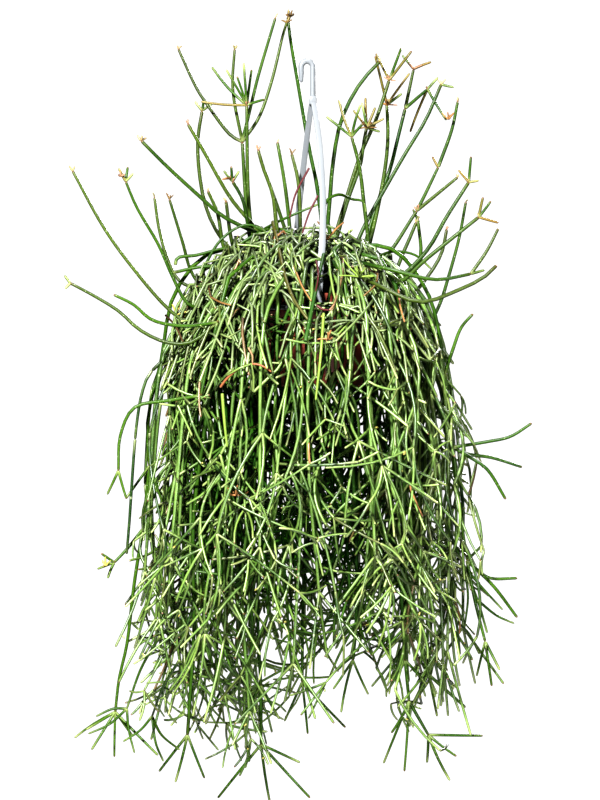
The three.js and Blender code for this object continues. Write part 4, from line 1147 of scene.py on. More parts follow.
def painted_inner_shade(spots):
    """How much painted shade each spot gets, by how deep in the bush it lies, from 0 at its outside to 1."""
    radius, z = from_axis(spots), spots[:, 2]
    top = mound_height(radius) - PAINTED_SHADE_SHOULDER * value_at(SHOULDER, radius)
    deep = value_at(PAINTED_SHADE_UNDER, top - z)
    return np.minimum(deep, value_at(PAINTED_SHADE_INSIDE, -radius)) * value_at(PAINTED_SHADE_LOWER, -z)


def stems_mesh(name, parts):
    """One mesh of all the parts, with their lightness, pale tips, painted shade and young colours as
    attributes.
    """
    bm = bmesh.new()
    spots, growth, young = [], [], []
    for kind, (sides, loops) in KINDS.items():
        alike = [part for part in parts if part.kind == kind]
        if not alike:
            continue
        blank = blank_stem(sides, loops)
        for _ in alike:
            bm.from_mesh(blank)
        where, along = bent_stems(blank, alike, loops)
        spots.append(where)
        lengths = np.array([np.linalg.norm(np.diff(p.line, axis=0), axis=1).sum() for p in alike])[:, None]
        tones, pales = (np.array([[getattr(p, what)] for p in alike]) for what in ("tone", "pale"))
        from_tip = (1 - along) * lengths / np.where(pales < 0, BROWN_TIP, PALE_TIP)
        from_foot = along * lengths / FOOT_LENGTH
        pale = pales * np.exp(-(from_tip**2)) + PALE_FOOT * np.exp(-(from_foot**2))
        # painted shade: darker where the stem lies deep inside the bush
        shade = painted_inner_shade(where).reshape(along.shape)
        growth.append(np.stack([tones + 0 * along, pale, shade], axis=-1).reshape(-1, 3))
        # young colours, and on the mound's stems the painted highlight of the top light
        tints = np.array([p.young if len(p.young) == 4 else (*p.young, 1) for p in alike])
        young.append(np.repeat(tints, along.shape[1], axis=0))
        bpy.data.meshes.remove(blank)
    mesh = mesh_from(bm, name)
    mesh.vertices.foreach_set("co", np.concatenate(spots).ravel() * MM)
    for label, kind, key, values in (
        ("growth", "FLOAT_VECTOR", "vector", growth),
        ("young", "FLOAT_COLOR", "color", young),
    ):
        mesh.attributes.new(label, kind, "POINT").data.foreach_set(key, np.concatenate(values).ravel())
    mesh.shade_smooth()
    mesh.update()
    return mesh


def placed(name, mesh, slot, material, *nodes):
    """Puts a finished mesh in the scene as a piece of the plant, in place of the nodes it stands for."""
    piece = bpy.data.objects.new(name, mesh)
    bpy.context.scene.collection.objects.link(piece)
    mesh.materials.append(material)
    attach(piece, "root")
    for node in nodes:
        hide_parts(node)
    return piece


# ---------------------------------------------------------------- materials

COOL = (0.72, 1.0, 1.35)  # what multiplies the green in its bluish patches
FELT_DOT = (0.46, 0.52, 0.30)
PEAT_FIBRE = (0.34, 0.27, 0.17)


class Wiring:
    """Adds nodes to a node tree and links them."""

    def __init__(self, tree):
        self.tree = tree

    def fill(self, node, inputs):
        """Fills inputs, given by name or number, each with a value or with the socket to link to it."""
        for key, value in inputs.items():
            if isinstance(value, bpy.types.NodeSocket):
                self.tree.links.new(value, node.inputs[key])
            else:
                node.inputs[key].default_value = value
        return node

    def node(self, kind, inputs=None, **settings):
        made = self.tree.nodes.new("ShaderNode" + kind)
        for key, value in settings.items():
            setattr(made, key, value)
        return self.fill(made, inputs or {})

    def math(self, operation, *values, clamp=False):
        return self.node("Math", dict(enumerate(values)), operation=operation, use_clamp=clamp).outputs[0]

    def mixed(self, share, a, b, blend="MIX"):
        """A colour between a and b."""
        a, b = (colour if hasattr(colour, "node") else (*colour, 1) for colour in (a, b))
        return self.node("Mix", {0: share, 6: a, 7: b}, data_type="RGBA", blend_type=blend).outputs[2]

    def ramp(self, value, low, high, to_low=0.0, to_high=1.0):
        inputs = {0: value, 1: low, 2: high, 3: to_low, 4: to_high}
        return self.node("MapRange", inputs, clamp=True).outputs[0]

    def noise(self, where, scale, detail=3.0, roughness=0.5):
        inputs = {"Vector": where, "Scale": scale, "Detail": detail, "Roughness": roughness}
        return self.node("TexNoise", inputs).outputs["Fac"]

    def place(self):
        return self.node("TexCoord").outputs["Object"]


def new_group(name, inputs, outputs):
    """A shader node group with the named sockets, and the two nodes inside it that carry them."""
    tree = bpy.data.node_groups.new(name, "ShaderNodeTree")
    for label, kind, value in inputs:
        socket = tree.interface.new_socket(label, in_out="INPUT", socket_type="NodeSocket" + kind)
        socket.default_value = value
    for label, kind in outputs:
        tree.interface.new_socket(label, in_out="OUTPUT", socket_type="NodeSocket" + kind)
    return Wiring(tree), tree.nodes.new("NodeGroupInput").outputs, tree.nodes.new("NodeGroupOutput")


def made_once(name, build):
    return bpy.data.node_groups.get(name) or build(name)


def stem_skin(name):
    """The skin of a stem: green, pale at its growing end, felt dots, young colours, painted highlight and
    shade.
    """
    inputs = [
        ("Dark", "Color", (0.03, 0.08, 0.02, 1)),
        ("Light", "Color", (0.2, 0.33, 0.08, 1)),
        ("Growing", "Color", (0.45, 0.5, 0.12, 1)),
        ("Dry", "Color", (0.16, 0.07, 0.03, 1)),
        # painted shade: the colour that multiplies the green deep inside the bush
        ("Painted Shade", "Color", (0.08, 0.16, 0.04, 1)),
        ("Dot Spacing", "Float", 0.011),
        ("Gloss", "Float", 0.7),
    ]
    outputs = [("Color", "Color"), ("Roughness", "Float"), ("Wax", "Float"), ("Height", "Float")]
    wiring, given, result = new_group(name, inputs, outputs)
    where = wiring.place()
    growth = wiring.node("Attribute", attribute_name="growth").outputs["Vector"]
    light, pale, shade = wiring.node("SeparateXYZ", {0: growth}).outputs
    young = wiring.node("Attribute", attribute_name="young").outputs
    coarse = wiring.noise(where, 34.0)
    fine = wiring.noise(where, 620.0, 4.0, 0.6)
    tone = wiring.math("ADD", light, wiring.ramp(coarse, 0.3, 0.7, -0.22, 0.22))
    tone = wiring.math("ADD", tone, wiring.ramp(fine, 0.3, 0.7, -0.2, 0.2), clamp=True)
    green = wiring.mixed(tone, given["Dark"], given["Light"])
    cool = wiring.math("MULTIPLY", wiring.ramp(wiring.noise(where, 11.0, 1.0), 0.45, 0.7), 0.18)
    green = wiring.mixed(cool, green, wiring.mixed(1.0, green, COOL, "MULTIPLY"))
    green = wiring.mixed(wiring.math("MINIMUM", pale, 0.92), green, given["Growing"])
    # young colours, and on the mound's stems the painted highlight of the top light
    green = wiring.mixed(young["Alpha"], green, young["Color"])
    green = wiring.mixed(wiring.ramp(pale, 0.0, -0.7), green, given["Dry"])
    pitch = wiring.math("DIVIDE", 1.0, given["Dot Spacing"])
    dots = wiring.node("TexVoronoi", {"Vector": where, "Scale": pitch, "Randomness": 0.8}).outputs["Distance"]
    dot = wiring.ramp(dots, 0.16, 0.08)
    green = wiring.mixed(wiring.math("MULTIPLY", dot, 0.5), green, FELT_DOT)
    # painted shade: stems deep inside the bush are multiplied towards the painted shade colour
    green = wiring.mixed(shade, green, wiring.mixed(1.0, green, given["Painted Shade"], "MULTIPLY"))
    wiring.fill(result, {
        "Color": green,
        "Roughness": wiring.math(
            "ADD", wiring.ramp(fine, 0.3, 0.7, 0.3, 0.44), wiring.math("MULTIPLY", shade, 0.45)),
        "Wax": wiring.math("MULTIPLY", wiring.ramp(shade, 0.6, 0.0), given["Gloss"]),
        "Height": wiring.math("ADD", wiring.math("MULTIPLY", fine, 0.35), wiring.math("MULTIPLY", dot, 0.5)),
    })
    return wiring.tree


def fine_grain(name):
    """A fine surface grain with soft patches, for moulded plastic and for peat."""
    inputs = [
        ("Grain", "Float", 900.0), ("Patches", "Float", 14.0), ("Roughness", "Float", 0.4),
        ("Spread", "Float", 0.1),
    ]
    outputs = [("Shade", "Float"), ("Roughness", "Float"), ("Height", "Float")]
    wiring, given, result = new_group(name, inputs, outputs)
    where = wiring.place()
    grain = wiring.noise(where, given["Grain"], 3.0, 0.6)
    shade = wiring.ramp(wiring.noise(where, given["Patches"], 4.0, 0.55), 0.3, 0.7)
    uneven = wiring.math("SUBTRACT", shade, 0.5)
    rough = wiring.math("MULTIPLY_ADD", uneven, given["Spread"], given["Roughness"])
    wiring.fill(result, {"Shade": shade, "Roughness": rough, "Height": grain})
    return wiring.tree


def new_material(name, sockets):
    """A material with one Principled shader, whose constants are set on its own sockets."""
    material = bpy.data.materials.new(name)
    material.use_nodes = True
    wiring = Wiring(material.node_tree)
    return material, wiring, wiring.fill(material.node_tree.nodes["Principled BSDF"], sockets)


def bumped(wiring, height, strength, distance):
    inputs = {"Height": height, "Strength": strength, "Distance": distance}
    return wiring.node("Bump", inputs).outputs["Normal"]


def stem_material(name, sizes, dark, light, gloss, dot_spacing):
    """The material of the shoots or of the hanging stems, with painted shade on the edges that turn from the
    eye.
    """
    sockets = {"Specular IOR Level": 0.1, "Coat Roughness": 0.4, "Coat IOR": 1.6}
    material, wiring, shader = new_material(name, sockets)
    skin = wiring.node("Group", {
        "Dark": (*dark, 1),
        "Light": (*light, 1),
        "Growing": (*sizes.growing, 1),
        "Dry": (*sizes.dry, 1),
        "Painted Shade": (*sizes.inner, 1),
        "Dot Spacing": dot_spacing,
        "Gloss": gloss,
    }, node_tree=made_once("Stem Skin", stem_skin)).outputs
    # painted shade: the green is darkened where the surface turns away from the eye
    edge = wiring.ramp(wiring.node("LayerWeight", {"Blend": 0.5}).outputs["Facing"], 0.1, 0.7, 1.0, 0.22)
    wiring.fill(shader, {
        "Base Color": wiring.mixed(1.0, skin["Color"], edge, "MULTIPLY"),
        "Roughness": skin["Roughness"],
        "Coat Weight": skin["Wax"],
        "Normal": bumped(wiring, skin["Height"], 0.35, 0.0004),
    })
    return material


def grainy_material(name, specular, grain, colour, shaded, bump=None, spots=None):
    """A finely grained material with soft patches from one colour to the other. `spots` gives the share and
    the colour of what lies over them."""
    material, wiring, shader = new_material(name, {"Specular IOR Level": specular})
    surface = wiring.node("Group", grain, node_tree=made_once("Fine Grain", fine_grain)).outputs
    shade = wiring.mixed(surface["Shade"], colour, shaded)
    if spots:
        share, over = spots(wiring)
        shade = wiring.mixed(share, shade, over)
    wiring.fill(shader, {"Base Color": shade, "Roughness": surface["Roughness"]})
    if bump:
        wiring.fill(shader, {"Normal": bumped(wiring, surface["Height"], *bump)})
    return material


def plastic_material(name, colour, shaded, roughness, grain, wear=None):
    """Moulded plastic, with pale scuffs if it has the colour of wear."""

    def scuffs(wiring):
        stretched = wiring.node("Mapping", {"Vector": wiring.place(), "Scale": (1.0, 1.0, 7.0)}).outputs[0]
        return wiring.ramp(wiring.noise(stretched, 70.0, 6.0, 0.7), 0.62, 0.75, 0.0, 0.5), wear

    look = {"Grain": grain, "Roughness": roughness}
    return grainy_material(name, 0.5, look, colour, shaded, (0.12, 0.0002), scuffs if wear else None)


def peat_material(name, dark, light):
    """Potting soil: dark peat with paler fibres and a rough, crumbly surface."""

    def fibres(wiring):
        bits = wiring.node("TexVoronoi", {"Vector": wiring.place(), "Scale": 260.0}).outputs["Color"]
        bit = wiring.node("SeparateColor", {0: bits}).outputs[0]
        return wiring.ramp(bit, 0.86, 0.95, 0.0, 0.7), PEAT_FIBRE

    look = {"Grain": 420.0, "Patches": 180.0, "Roughness": 0.93, "Spread": 0.1}
    return grainy_material(name, 0.25, look, dark, light, (0.8, 0.002), fibres)


# ---------------------------------------------------------------- settings


def colour_setting(name, description, default):
    return FloatVectorProperty(
        name=name, description=description, default=default, size=3, min=0, max=1, subtype="COLOR")


def length_setting(name, description, default):
    return FloatProperty(
        name=name, description=description, default=default, min=0, unit="LENGTH", subtype="DISTANCE")


def number_setting(name, description, default):
    return IntProperty(name=name, description=description, default=default, min=0)


class PlantSettings(PropertyGroup):
    """Sizes and colours of the stems."""

    shoot_dark: colour_setting("Shoot Shade", "Darkest green of the upright shoots", (0.004, 0.030, 0.001))
    shoot_light: colour_setting("Shoot Light", "Lightest green of the upright shoots", (0.048, 0.112, 0.006))
    stem_dark: colour_setting("Stem Shade", "Darkest green of the hanging stems", (0.006, 0.034, 0.001))
    stem_light: colour_setting("Stem Light", "Lightest green of the hanging stems", (0.146, 0.250, 0.044))
    growing: colour_setting("Growing Ends", "Pale green of the growing ends", (0.450, 0.500, 0.185))
    dry: colour_setting("Dry Tips", "Brown of the dried tips", (0.160, 0.070, 0.030))
    # painted shade: the colour that darkens the stems deep inside the bush
    inner: colour_setting("Inner Shade", "What is left of the green deep inside", (0.070, 0.230, 0.010))
    dot_spacing: length_setting("Dot Spacing", "Distance between the felt dots on the stems", 0.011)
    swing: FloatProperty(
        name="Swing", description="How far round the pot a clump's stems spread", default=1.3, min=0, max=3)
    mound_stems: number_setting("Mound Stems", "Short stems over each sixth of the pot", 76)
    buds: number_setting("Buds", "Small buds on each clump", 9)


class PotSettings(PropertyGroup):
    """Colours of the pot, its hanger and the soil, and the size of the crumbs."""

    rim: colour_setting("Pot", "Reddish brown of the pot", (0.190, 0.038, 0.020))
    rim_shade: colour_setting("Pot Shade", "Darker patches of the pot", (0.110, 0.022, 0.012))
    scuffs: colour_setting("Scuffs", "Pale scuffs on the pot", (0.400, 0.150, 0.090))
    plastic: colour_setting("Hanger", "White of the hanger", (0.160, 0.170, 0.178))
    plastic_shade: colour_setting("Hanger Shade", "Faint grey patches of the hanger", (0.125, 0.135, 0.146))
    peat: colour_setting("Peat", "Dark of the potting soil", (0.018, 0.011, 0.007))
    peat_light: colour_setting("Fibres", "Paler fibres in the potting soil", (0.075, 0.045, 0.028))
    crumb: length_setting("Crumb", "Radius of the largest crumbs of peat", 0.0028)
    crumbs: number_setting("Crumbs", "Crumbs of peat on the soil", 420)


class StageSettings(PropertyGroup):
    """Floor, light and camera."""

    floor_drop: length_setting("Floor Drop", "Depth of the floor under the hook", 2.7)
    floor_radius: length_setting("Floor Radius", "Radius of the floor", 3.1)
    distance: length_setting("Camera Distance", "Distance from the camera to the plant", 2.6)
    lens: FloatProperty(name="Lens", description="Focal length", default=112.5, min=10, unit="CAMERA")
    glow: FloatProperty(
        name="Glow", description="Strength of the even white light all round", default=0.02, min=0)


# ---------------------------------------------------------------- growing everything once

GROWN = []
CROWN_COLOUR = (0.13, 0.10, 0.05)
SHOOT_GLOSS, HANGING_GLOSS = 0.08, 0.78
SHOOT_DOTS = 0.32  # distance between the dots on the shoots, as a share of that on the hanging stems


def grown_plants():
    """Every plant with all its parts, grown the first time that it is asked for."""
    if not GROWN:
        plants = all_plants()
        grow_solids(plants)
        swing = bpy.context.scene.plant.swing
        for node, plant in enumerate(plants):
            if plant.ring:
                grow_more_hanging(plant, node, swing)
            crown = np.array([(*plant.root, z) for z in np.linspace(CROWN_BOTTOM, CROWN_TOP + 2, 5)])
            wide, narrow = plant.radius * 0.92, plant.radius * 0.7
            plant.parts.append(Part(crown, wide, narrow, 1, 0.1, 0, CROWN_COLOUR, "shoot"))
        GROWN.extend(plants)
    return GROWN


def loose_plant(name):
    """A plant without a crown of its own, to hold parts."""
    return Plant(name, (0, 0), 0, None, 0, None, [])


def stem_look(name):
    """The skin of the upright shoots or of the hanging stems."""
    made = bpy.data.materials.get(name)
    if made:
        return made
    sizes = bpy.context.scene.plant
    dots = sizes.dot_spacing
    if name == "shoot_skin":
        return stem_material(name, sizes, sizes.shoot_dark, sizes.shoot_light, SHOOT_GLOSS, dots * SHOOT_DOTS)
    return stem_material(name, sizes, sizes.stem_dark, sizes.stem_light, HANGING_GLOSS, dots)


# ---------------------------------------------------------------- hanger, pot and soil

SOFT_ANGLE, CRUMB_ANGLE = 40, 60  # edges bent less than this, in degrees, look smooth

# The hanger's rod is thinner towards the hook's tip, which is round. Thicknesses are shares of the rod's.
TIP_OUT = 1.6
TIP_THICKNESS, TIP_LENGTH, TIP_END = 0.62, 13, 0.25
SHANK_STEPS = 8
ROD_SIDES = 16
STRAP_STEPS = 32
COLLAR_BEVEL = 1.1
RING_SOFT = 0.9
RING_SEGMENTS, POT_SEGMENTS = 96, 72

# The pot's foot is hollow under its middle and has drain holes round that.
FOOT_MIDDLE = 24
FOOT_HOLLOW = 1.2
FOOT_STEP = (30, 31)
DRAINS, DRAIN_TURN = 8, 10  # how many holes, and how far round the foot each reaches, in degrees
DRAIN_BAND = (26, 28)  # where the faces that they take out have their middles
NEAR = 1e-3

CRUMBS_WITHIN = 67


def finished(bm, name, smooth_angle=SOFT_ANGLE):
    """The mesh of a bmesh in millimetres, scaled to metres, with normals outward and soft edges smooth."""
    bmesh.ops.remove_doubles(bm, verts=bm.verts[:], dist=1e-4)
    bmesh.ops.recalc_face_normals(bm, faces=bm.faces[:])
    bmesh.ops.scale(bm, vec=(MM, MM, MM), verts=bm.verts[:])
    limit = math.radians(smooth_angle)
    for face in bm.faces:
        face.smooth = True
    for edge in bm.edges:
        if len(edge.link_faces) == 2 and edge.calc_face_angle(0) > limit:
            edge.smooth = False
    return mesh_from(bm, name)


def spun(bm, profile, segments):
    """Spins a closed outline of (radius, height) round the Z axis."""
    corners = [bm.verts.new((radius, 0, z)) for radius, z in profile]
    edges = [bm.edges.new(pair) for pair in zip(corners, corners[1:] + corners[:1])]
    bmesh.ops.spin(
        bm, geom=corners + edges, cent=(0, 0, 0), axis=(0, 0, 1), angle=2 * math.pi, steps=segments,
        use_merge=True)


def bend_along(bm, corners, line, size, side):
    """Bends corners made round the Z axis, their layers 1 apart, along the line. size(t) gives the section's
    half width and half depth."""
    line = np.asarray(line, float)
    tangents = unit_rows(np.gradient(line, axis=0))
    carried = np.array(side, float)
    frames = []
    for tangent in tangents:
        carried = unit(carried - (carried @ tangent) * tangent)
        frames.append((carried, np.cross(tangent, carried)))
    last = len(line) - 1
    for corner in corners:
        at = min(last, max(0, round(corner.co.z)))
        wide, deep = size(at / last)
        across, depth = frames[at]
        corner.co = Vector(line[at] + across * corner.co.x * wide + depth * corner.co.y * deep)


def post(bm, layers, section=None):
    """A post up the Z axis, its layers 1 apart, round or with the given section. Returns its corners."""
    before = set(bm.verts)
    if section:
        edges = list(bm.faces.new([bm.verts.new((x, y, 0)) for x, y in section]).edges)
    else:
        bmesh.ops.create_circle(bm, cap_ends=True, segments=ROD_SIDES, radius=1)
        edges = [e for e in bm.edges if not set(e.verts) & before]
    edges, _ = drawn_up(bm, edges, layers)
    bmesh.ops.contextual_create(bm, geom=edges)
    return [v for v in bm.verts if v not in before]


def beveled_box(bm, centre, size, width, segments=3):
    box = bmesh.ops.create_cube(bm, size=1)["verts"]
    bmesh.ops.scale(bm, vec=size, verts=box)
    bmesh.ops.translate(bm, vec=centre, verts=box)
    edges = {edge for corner in box for edge in corner.link_edges}
    bmesh.ops.bevel(
        bm, geom=list(edges), offset=width, segments=segments, profile=0.5, affect="EDGES", material=-1)


def degrees_round(spot):
    return math.degrees(math.atan2(spot[1], spot[0]))


ROUND_BAR = [(-1, -0.45), (-0.86, -0.85), (-0.5, -1), (0.5, -1), (0.86, -0.85), (1, -0.45)]
ROUND_BAR = ROUND_BAR + [(-x, -y) for x, y in ROUND_BAR]


class OBJECT_OT_cactus_hanger(Operator):
    """Makes the white hanger: hook, collar, two straps and the ring under the rim"""

    bl_idname = "object.cactus_hanger"
    bl_label = "Hanger"

    def execute(self, context):
        sizes = context.scene.pot
        bm = bmesh.new()
        path = hook_path(24)
        tip, bend = np.array(path[:2]), np.array(path[2:])
        point = np.linspace(tip[0] - (0, 0, TIP_OUT), tip[1], 9)
        line = np.vstack([point, bend[:-1], np.linspace(bend[-2], bend[-1], SHANK_STEPS)[1:]])
        reached = lengths_along(line)

        def rod(share):
            along = reached[round(share * (len(line) - 1))]
            thick = TIP_END if along == 0 else TIP_THICKNESS + (1 - TIP_THICKNESS) * along / TIP_LENGTH
            return (ROD * min(1, thick),) * 2

        bend_along(bm, post(bm, len(line) - 1), line, rod, (0, 1, 0))
        beveled_box(bm, (HOOK_BEND, 0, SHANK_END), COLLAR, COLLAR_BEVEL)
        for leg in (LEG_FRONT, LEG_BACK):
            strap = curve_through(leg, STRAP_STEPS)
            corners = post(bm, len(strap) - 1, ROUND_BAR)
            bend_along(bm, corners, strap, lambda t: (mix(LEG[0], LEG[1], t) / 2, LEG[2] / 2), (1, 0, 0))
        top = RIM_TOP - RIM_HEIGHT - GAP
        low, soft = top - RING_HEIGHT, RING_SOFT
        spun(bm, [
            (RING_INSIDE, low + soft), (RING_INSIDE + soft, low),
            (RING_OUTSIDE - soft, low), (RING_OUTSIDE, low + soft),
            (RING_OUTSIDE, top - soft), (RING_OUTSIDE - soft, top),
            (RING_INSIDE + soft, top), (RING_INSIDE, top - soft),
        ], RING_SEGMENTS)
        material = plastic_material("hanger_white", sizes.plastic, sizes.plastic_shade, 0.34, 700.0)
        placed("hanger_moulding", finished(bm, "hanger_moulding"), "hanger_plastic", material, "hanger")
        return {"FINISHED"}


class OBJECT_OT_cactus_pot(Operator):
    """Makes the plastic pot with its rolled rim, moulding lines and drain holes"""

    bl_idname = "object.cactus_pot"
    bl_label = "Pot"

    def profile(self):
        """The outline of the pot's section, from the foot's middle up and back down inside."""
        foot, under = RIM_TOP - POT_HEIGHT, RIM_TOP - RIM_HEIGHT
        slope = (WALL_RADIUS - FOOT_RADIUS) / (under - foot)
        inner, bottom = WALL_RADIUS - WALL, FOOT_RADIUS - WALL

        def wall(z, out=0.0):
            return FOOT_RADIUS + (z - foot) * slope + out, z

        return [
            (FOOT_MIDDLE, foot + FOOT_HOLLOW), (FOOT_STEP[0], foot + FOOT_HOLLOW), (FOOT_STEP[1], foot),
            (FOOT_RADIUS - 1.4, foot), (FOOT_RADIUS - 0.4, foot + 0.4), wall(foot + 1.5), wall(foot + 9),
            wall(foot + 9.6, 0.5), wall(foot + 10.8, 0.5), wall(foot + 11.4), wall(under - 7),
            wall(under - 6.5, 0.4), wall(under - 5.6, 0.4), wall(under - 5), wall(under - 0.5),
            (WALL_RADIUS + 0.6, under), (RIM_RADIUS - 0.9, under), (RIM_RADIUS - 0.1, under + 0.7),
            (RIM_RADIUS, RIM_TOP - 2.6), (RIM_RADIUS - 0.3, RIM_TOP - 1.1), (RIM_RADIUS - 1, RIM_TOP - 0.2),
            (RIM_RADIUS - 1.8, RIM_TOP), (inner + 0.7, RIM_TOP), (inner, RIM_TOP - 0.7), (inner, under),
            (bottom + 0.6, foot + FLOOR + 1), (bottom - 0.5, foot + FLOOR), (FOOT_STEP[1], foot + FLOOR),
            (FOOT_MIDDLE, foot + FLOOR),
        ]

    def close_middle(self, bm):
        """Takes out the bore that the spin leaves, and closes the floor over it and under it."""
        bore = [f for f in bm.faces if math.hypot(*f.calc_center_median()[:2]) < FOOT_MIDDLE + 0.01]
        bmesh.ops.delete(bm, geom=bore, context="FACES")
        foot = RIM_TOP - POT_HEIGHT
        for z in (foot + FOOT_HOLLOW, foot + FLOOR):
            open_edges = (edge for edge in bm.edges if edge.is_boundary)
            ring = [edge for edge in open_edges if all(abs(v.co.z - z) < NEAR for v in edge.verts)]
            bmesh.ops.contextual_create(bm, geom=ring)

    def drill(self, bm):
        """Takes the drain holes out of the floor, and gives each a wall."""
        each = 360 / DRAINS
        holes = []
        for face in bm.faces:
            centre = face.calc_center_median()
            radius = math.hypot(centre.x, centre.y)
            if DRAIN_BAND[0] < radius < DRAIN_BAND[1] and degrees_round(centre) % each < DRAIN_TURN:
                holes.append(face)
        around = (edge for face in holes for edge in face.edges)
        edges = {edge for edge in around if sum(face in holes for face in edge.link_faces) == 1}
        bmesh.ops.delete(bm, geom=holes, context="FACES")
        for hole in range(DRAINS):
            rim = []
            for edge in edges:
                if edge.is_valid and edge.is_boundary:
                    middle = (edge.verts[0].co + edge.verts[1].co) / 2
                    if degrees_round(middle) % 360 // each == hole:
                        rim.append(edge)
            if rim:
                bmesh.ops.bridge_loops(bm, edges=rim)

    def execute(self, context):
        sizes = context.scene.pot
        bm = bmesh.new()
        spun(bm, self.profile(), POT_SEGMENTS)
        bmesh.ops.remove_doubles(bm, verts=bm.verts[:], dist=1e-4)
        bmesh.ops.recalc_face_normals(bm, faces=bm.faces[:])
        self.close_middle(bm)
        self.drill(bm)
        material = plastic_material("pot_brown", sizes.rim, sizes.rim_shade, 0.42, 500.0, sizes.scuffs)
        placed("pot_shell", finished(bm, "pot_shell"), "pot_plastic", material, "pot")
        return {"FINISHED"}


class OBJECT_OT_cactus_soil(Operator):
    """Gives the soil its peat and scatters crumbs over it"""

    bl_idname = "object.cactus_soil"
    bl_label = "Soil"

    def execute(self, context):
        sizes = context.scene.pot
        peat = peat_material("peat", sizes.peat, sizes.peat_light)
        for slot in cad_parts["soil"].material_slots:
            slot.material = peat
        bm = bmesh.new()
        bmesh.ops.create_icosphere(bm, subdivisions=1, radius=1)
        lump = mesh_from(bm, "lump")
        bm = bmesh.new()
        for _ in range(sizes.crumbs):
            bm.from_mesh(lump)
        each = len(lump.vertices)
        bm.verts.ensure_lookup_table()
        draw = draws(71)
        for i in range(sizes.crumbs):
            corners = bm.verts[i * each : (i + 1) * each]
            heading, radius = 2 * math.pi * draw(), CRUMBS_WITHIN * math.sqrt(draw())
            size = sizes.crumb / MM * (0.25 + 0.75 * draw() ** 2)
            flat = (size, size * at_least(0.6, 0.4, draw), size * at_least(0.45, 0.4, draw))
            bmesh.ops.scale(bm, vec=flat, verts=corners)
            spin = Vector(stray(draw)).to_track_quat("Z", "Y").to_matrix()
            bmesh.ops.rotate(bm, cent=(0, 0, 0), matrix=spin, verts=corners)
            spot = (*around_axis(heading, radius), SOIL_TOP + size * 0.25)
            bmesh.ops.translate(bm, vec=spot, verts=corners)
        bpy.data.meshes.remove(lump)
        placed("soil_crumbs", finished(bm, "soil_crumbs", CRUMB_ANGLE), "potting_soil", peat)
        return {"FINISHED"}


# ---------------------------------------------------------------- the plant

BUD_LEANS = (50, 80)
BUD_LENGTHS = np.linspace(1, 5, 4)[:, None]
BUD_RADIUS, BUD_TIP = 1.1, 1.0
YELLOW_BUDS = 0.6


def place_stems(name, parts, *nodes, hanging=True):
    """Puts a piece made of the parts in the scene, with the look of the hanging stems or of the shoots."""
    slot, look = ("clump_stem", "hanging_skin") if hanging else ("shoot_stem", "shoot_skin")
    placed(name, stems_mesh(name, parts), slot, stem_look(look), *nodes)


class OBJECT_OT_cactus_shoots(Operator):
    """Grows the sprays that stand over the pot or reach out of the curtain"""

    bl_idname = "object.cactus_shoots"
    bl_label = "Shoots"

    def execute(self, context):
        for plant in grown_plants():
            if plant.shoots:
                place_stems(plant.name + "_stems", plant.parts, plant.name, hanging=False)
        return {"FINISHED"}


class OBJECT_OT_cactus_curtain(Operator):
    """Grows the clumps whose stems bow over the rim and hang down"""

    bl_idname = "object.cactus_curtain"
    bl_label = "Hanging Clumps"

    def bud(self, bearers, draw):
        bearer = pick(bearers, draw)
        at = 1 + int(draw() * (len(bearer.line) - 2))
        heading = unit(bearer.line[at] - bearer.line[at - 1])
        out = twig_heading(heading, 2 * math.pi * draw(), draw, BUD_LEANS)
        line = bearer.line[at] + out * BUD_LENGTHS
        young = YELLOW if draw() < YELLOW_BUDS else GREEN
        return Part(line, BUD_RADIUS, BUD_TIP, 0.7, 0.9, 0.8, young, "bud")

    def execute(self, context):
        sizes = context.scene.plant
        for node, plant in enumerate(grown_plants()):
            if plant.ring:
                draw = draws(node, 700)
                bearers = [part for part in plant.parts[:-1] if part.kind != "shoot"]
                buds = [self.bud(bearers, draw) for _ in range(sizes.buds)]
                place_stems(plant.name + "_stems", plant.parts + buds, plant.name)
        return {"FINISHED"}


class OBJECT_OT_cactus_mound(Operator):
    """Grows the tangle of short stems over the pot"""

    bl_idname = "object.cactus_mound"
    bl_label = "Mound"

    def execute(self, context):
        count = context.scene.plant.mound_stems
        for sixth in range(6):
            mound = loose_plant(f"mound_{sixth + 1}")
            grow_mound(mound, 500 + sixth, count, (sixth * math.pi / 3, (sixth + 1) * math.pi / 3))
            place_stems(mound.name, mound.parts)
        return {"FINISHED"}


class OBJECT_OT_cactus_young(Operator):
    """Grows the yellow, orange, red and brown shoots that stand out from the green"""

    bl_idname = "object.cactus_young"
    bl_label = "Young Growth"

    def execute(self, context):
        young = loose_plant("young_growth")
        grow_young(young)
        place_stems(young.name, young.parts, hanging=False)
        return {"FINISHED"}


# ---------------------------------------------------------------- the stage

LIGHTS = (  # name, place, power and width
    ("key", (-1.0, -2.1, 1.2), 315, 0.22),
    ("fill", (1.2, -2.0, -0.8), 48, 0.6),
    ("top", (0.3, 0.5, 1.9), 40, 0.5),
    ("back", (1.0, 2.2, 0.7), 70, 0.8),
)
LIT = Vector((0, 0, -0.35))  # what the lights aim at
VIEW_X, VIEW_Z = -0.0073, -0.3494  # what the camera looks at
FLOOR_COLOUR, FLOOR_SHADE = (0.93, 0.93, 0.93), (0.91, 0.91, 0.91)


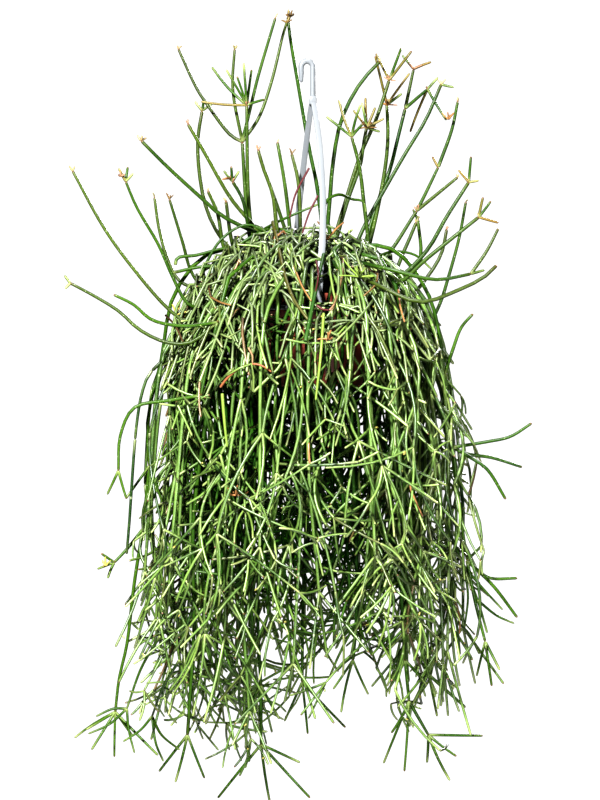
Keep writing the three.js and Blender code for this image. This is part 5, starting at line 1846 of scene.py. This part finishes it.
class OBJECT_OT_cactus_stage(Operator):
    """Sets the pale floor, the soft light and the camera"""

    bl_idname = "object.cactus_stage"
    bl_label = "Stage"

    def put(self, name, data, place):
        """Puts a new object in the scene."""
        made = bpy.data.objects.new(name, data)
        bpy.context.scene.collection.objects.link(made)
        made.location = place
        return made

    def lay_floor(self, sizes):
        bm = bmesh.new()
        bmesh.ops.create_circle(bm, cap_ends=True, segments=96, radius=sizes.floor_radius)
        bmesh.ops.translate(bm, vec=(0, 0, -sizes.floor_drop), verts=bm.verts[:])
        mesh = mesh_from(bm, "floor")
        look = {"Grain": 60.0, "Patches": 1.5, "Roughness": 0.8}
        mesh.materials.append(grainy_material("floor_white", 0.1, look, FLOOR_COLOUR, FLOOR_SHADE))
        self.put("floor", mesh, (0, 0, 0))

    def light_world(self, scene, glow):
        """A white backdrop for the camera that gives the plant only a faint glow."""
        world = bpy.data.worlds.new("studio")
        scene.world = world
        world.use_nodes = True
        wiring = Wiring(world.node_tree)
        seen = wiring.node("LightPath").outputs["Is Camera Ray"]
        background = world.node_tree.nodes["Background"]
        wiring.fill(background, {"Color": (1, 1, 1, 1), "Strength": wiring.ramp(seen, 0.0, 1.0, glow, 1.0)})

    def execute(self, context):
        scene = context.scene
        sizes = scene.stage_set
        self.lay_floor(sizes)
        self.light_world(scene, sizes.glow)
        for name, place, energy, size in LIGHTS:
            light = bpy.data.lights.new(name, "AREA")
            light.shape = "DISK"
            light.energy = energy
            light.size = size
            lamp = self.put(name, light, place)
            lamp.rotation_euler = (LIT - lamp.location).to_track_quat("-Z", "Y").to_euler()
        camera = bpy.data.cameras.new("camera")
        camera.lens = sizes.lens
        camera.sensor_width = 36
        camera.clip_end = 100
        scene.camera = self.put("camera", camera, (VIEW_X, -sizes.distance, VIEW_Z))
        scene.camera.rotation_euler = (math.pi / 2, 0, 0)
        scene.view_settings.view_transform = "Standard"
        scene.view_settings.look = "Medium High Contrast"
        return {"FINISHED"}


class VIEW3D_PT_cactus(Panel):
    """Lists the settings and the pieces"""

    bl_label = "Mistletoe Cactus"
    bl_idname = "VIEW3D_PT_cactus"
    bl_space_type = "VIEW_3D"
    bl_region_type = "UI"
    bl_category = "Cactus"

    def draw(self, context):
        scene = context.scene
        for settings in (scene.plant, scene.pot, scene.stage_set):
            box = self.layout.box()
            for key in settings.__annotations__:
                box.prop(settings, key)
        for operator in OPERATORS:
            self.layout.operator(operator.bl_idname)


OPERATORS = (
    OBJECT_OT_cactus_hanger,
    OBJECT_OT_cactus_pot,
    OBJECT_OT_cactus_soil,
    OBJECT_OT_cactus_shoots,
    OBJECT_OT_cactus_curtain,
    OBJECT_OT_cactus_mound,
    OBJECT_OT_cactus_young,
    OBJECT_OT_cactus_stage,
)
CLASSES = (PlantSettings, PotSettings, StageSettings, *OPERATORS, VIEW3D_PT_cactus)


def register():
    for cls in CLASSES:
        bpy.utils.register_class(cls)
    bpy.types.Scene.plant = PointerProperty(type=PlantSettings)
    bpy.types.Scene.pot = PointerProperty(type=PotSettings)
    bpy.types.Scene.stage_set = PointerProperty(type=StageSettings)


def unregister():
    del bpy.types.Scene.plant, bpy.types.Scene.pot, bpy.types.Scene.stage_set
    for cls in reversed(CLASSES):
        bpy.utils.unregister_class(cls)


def main():
    register()
    bpy.ops.object.cactus_hanger()
    bpy.ops.object.cactus_pot()
    bpy.ops.object.cactus_soil()
    bpy.ops.object.cactus_shoots()
    bpy.ops.object.cactus_curtain()
    bpy.ops.object.cactus_mound()
    bpy.ops.object.cactus_young()
    bpy.ops.object.cactus_stage()


if __name__ == "__main__":
    main()
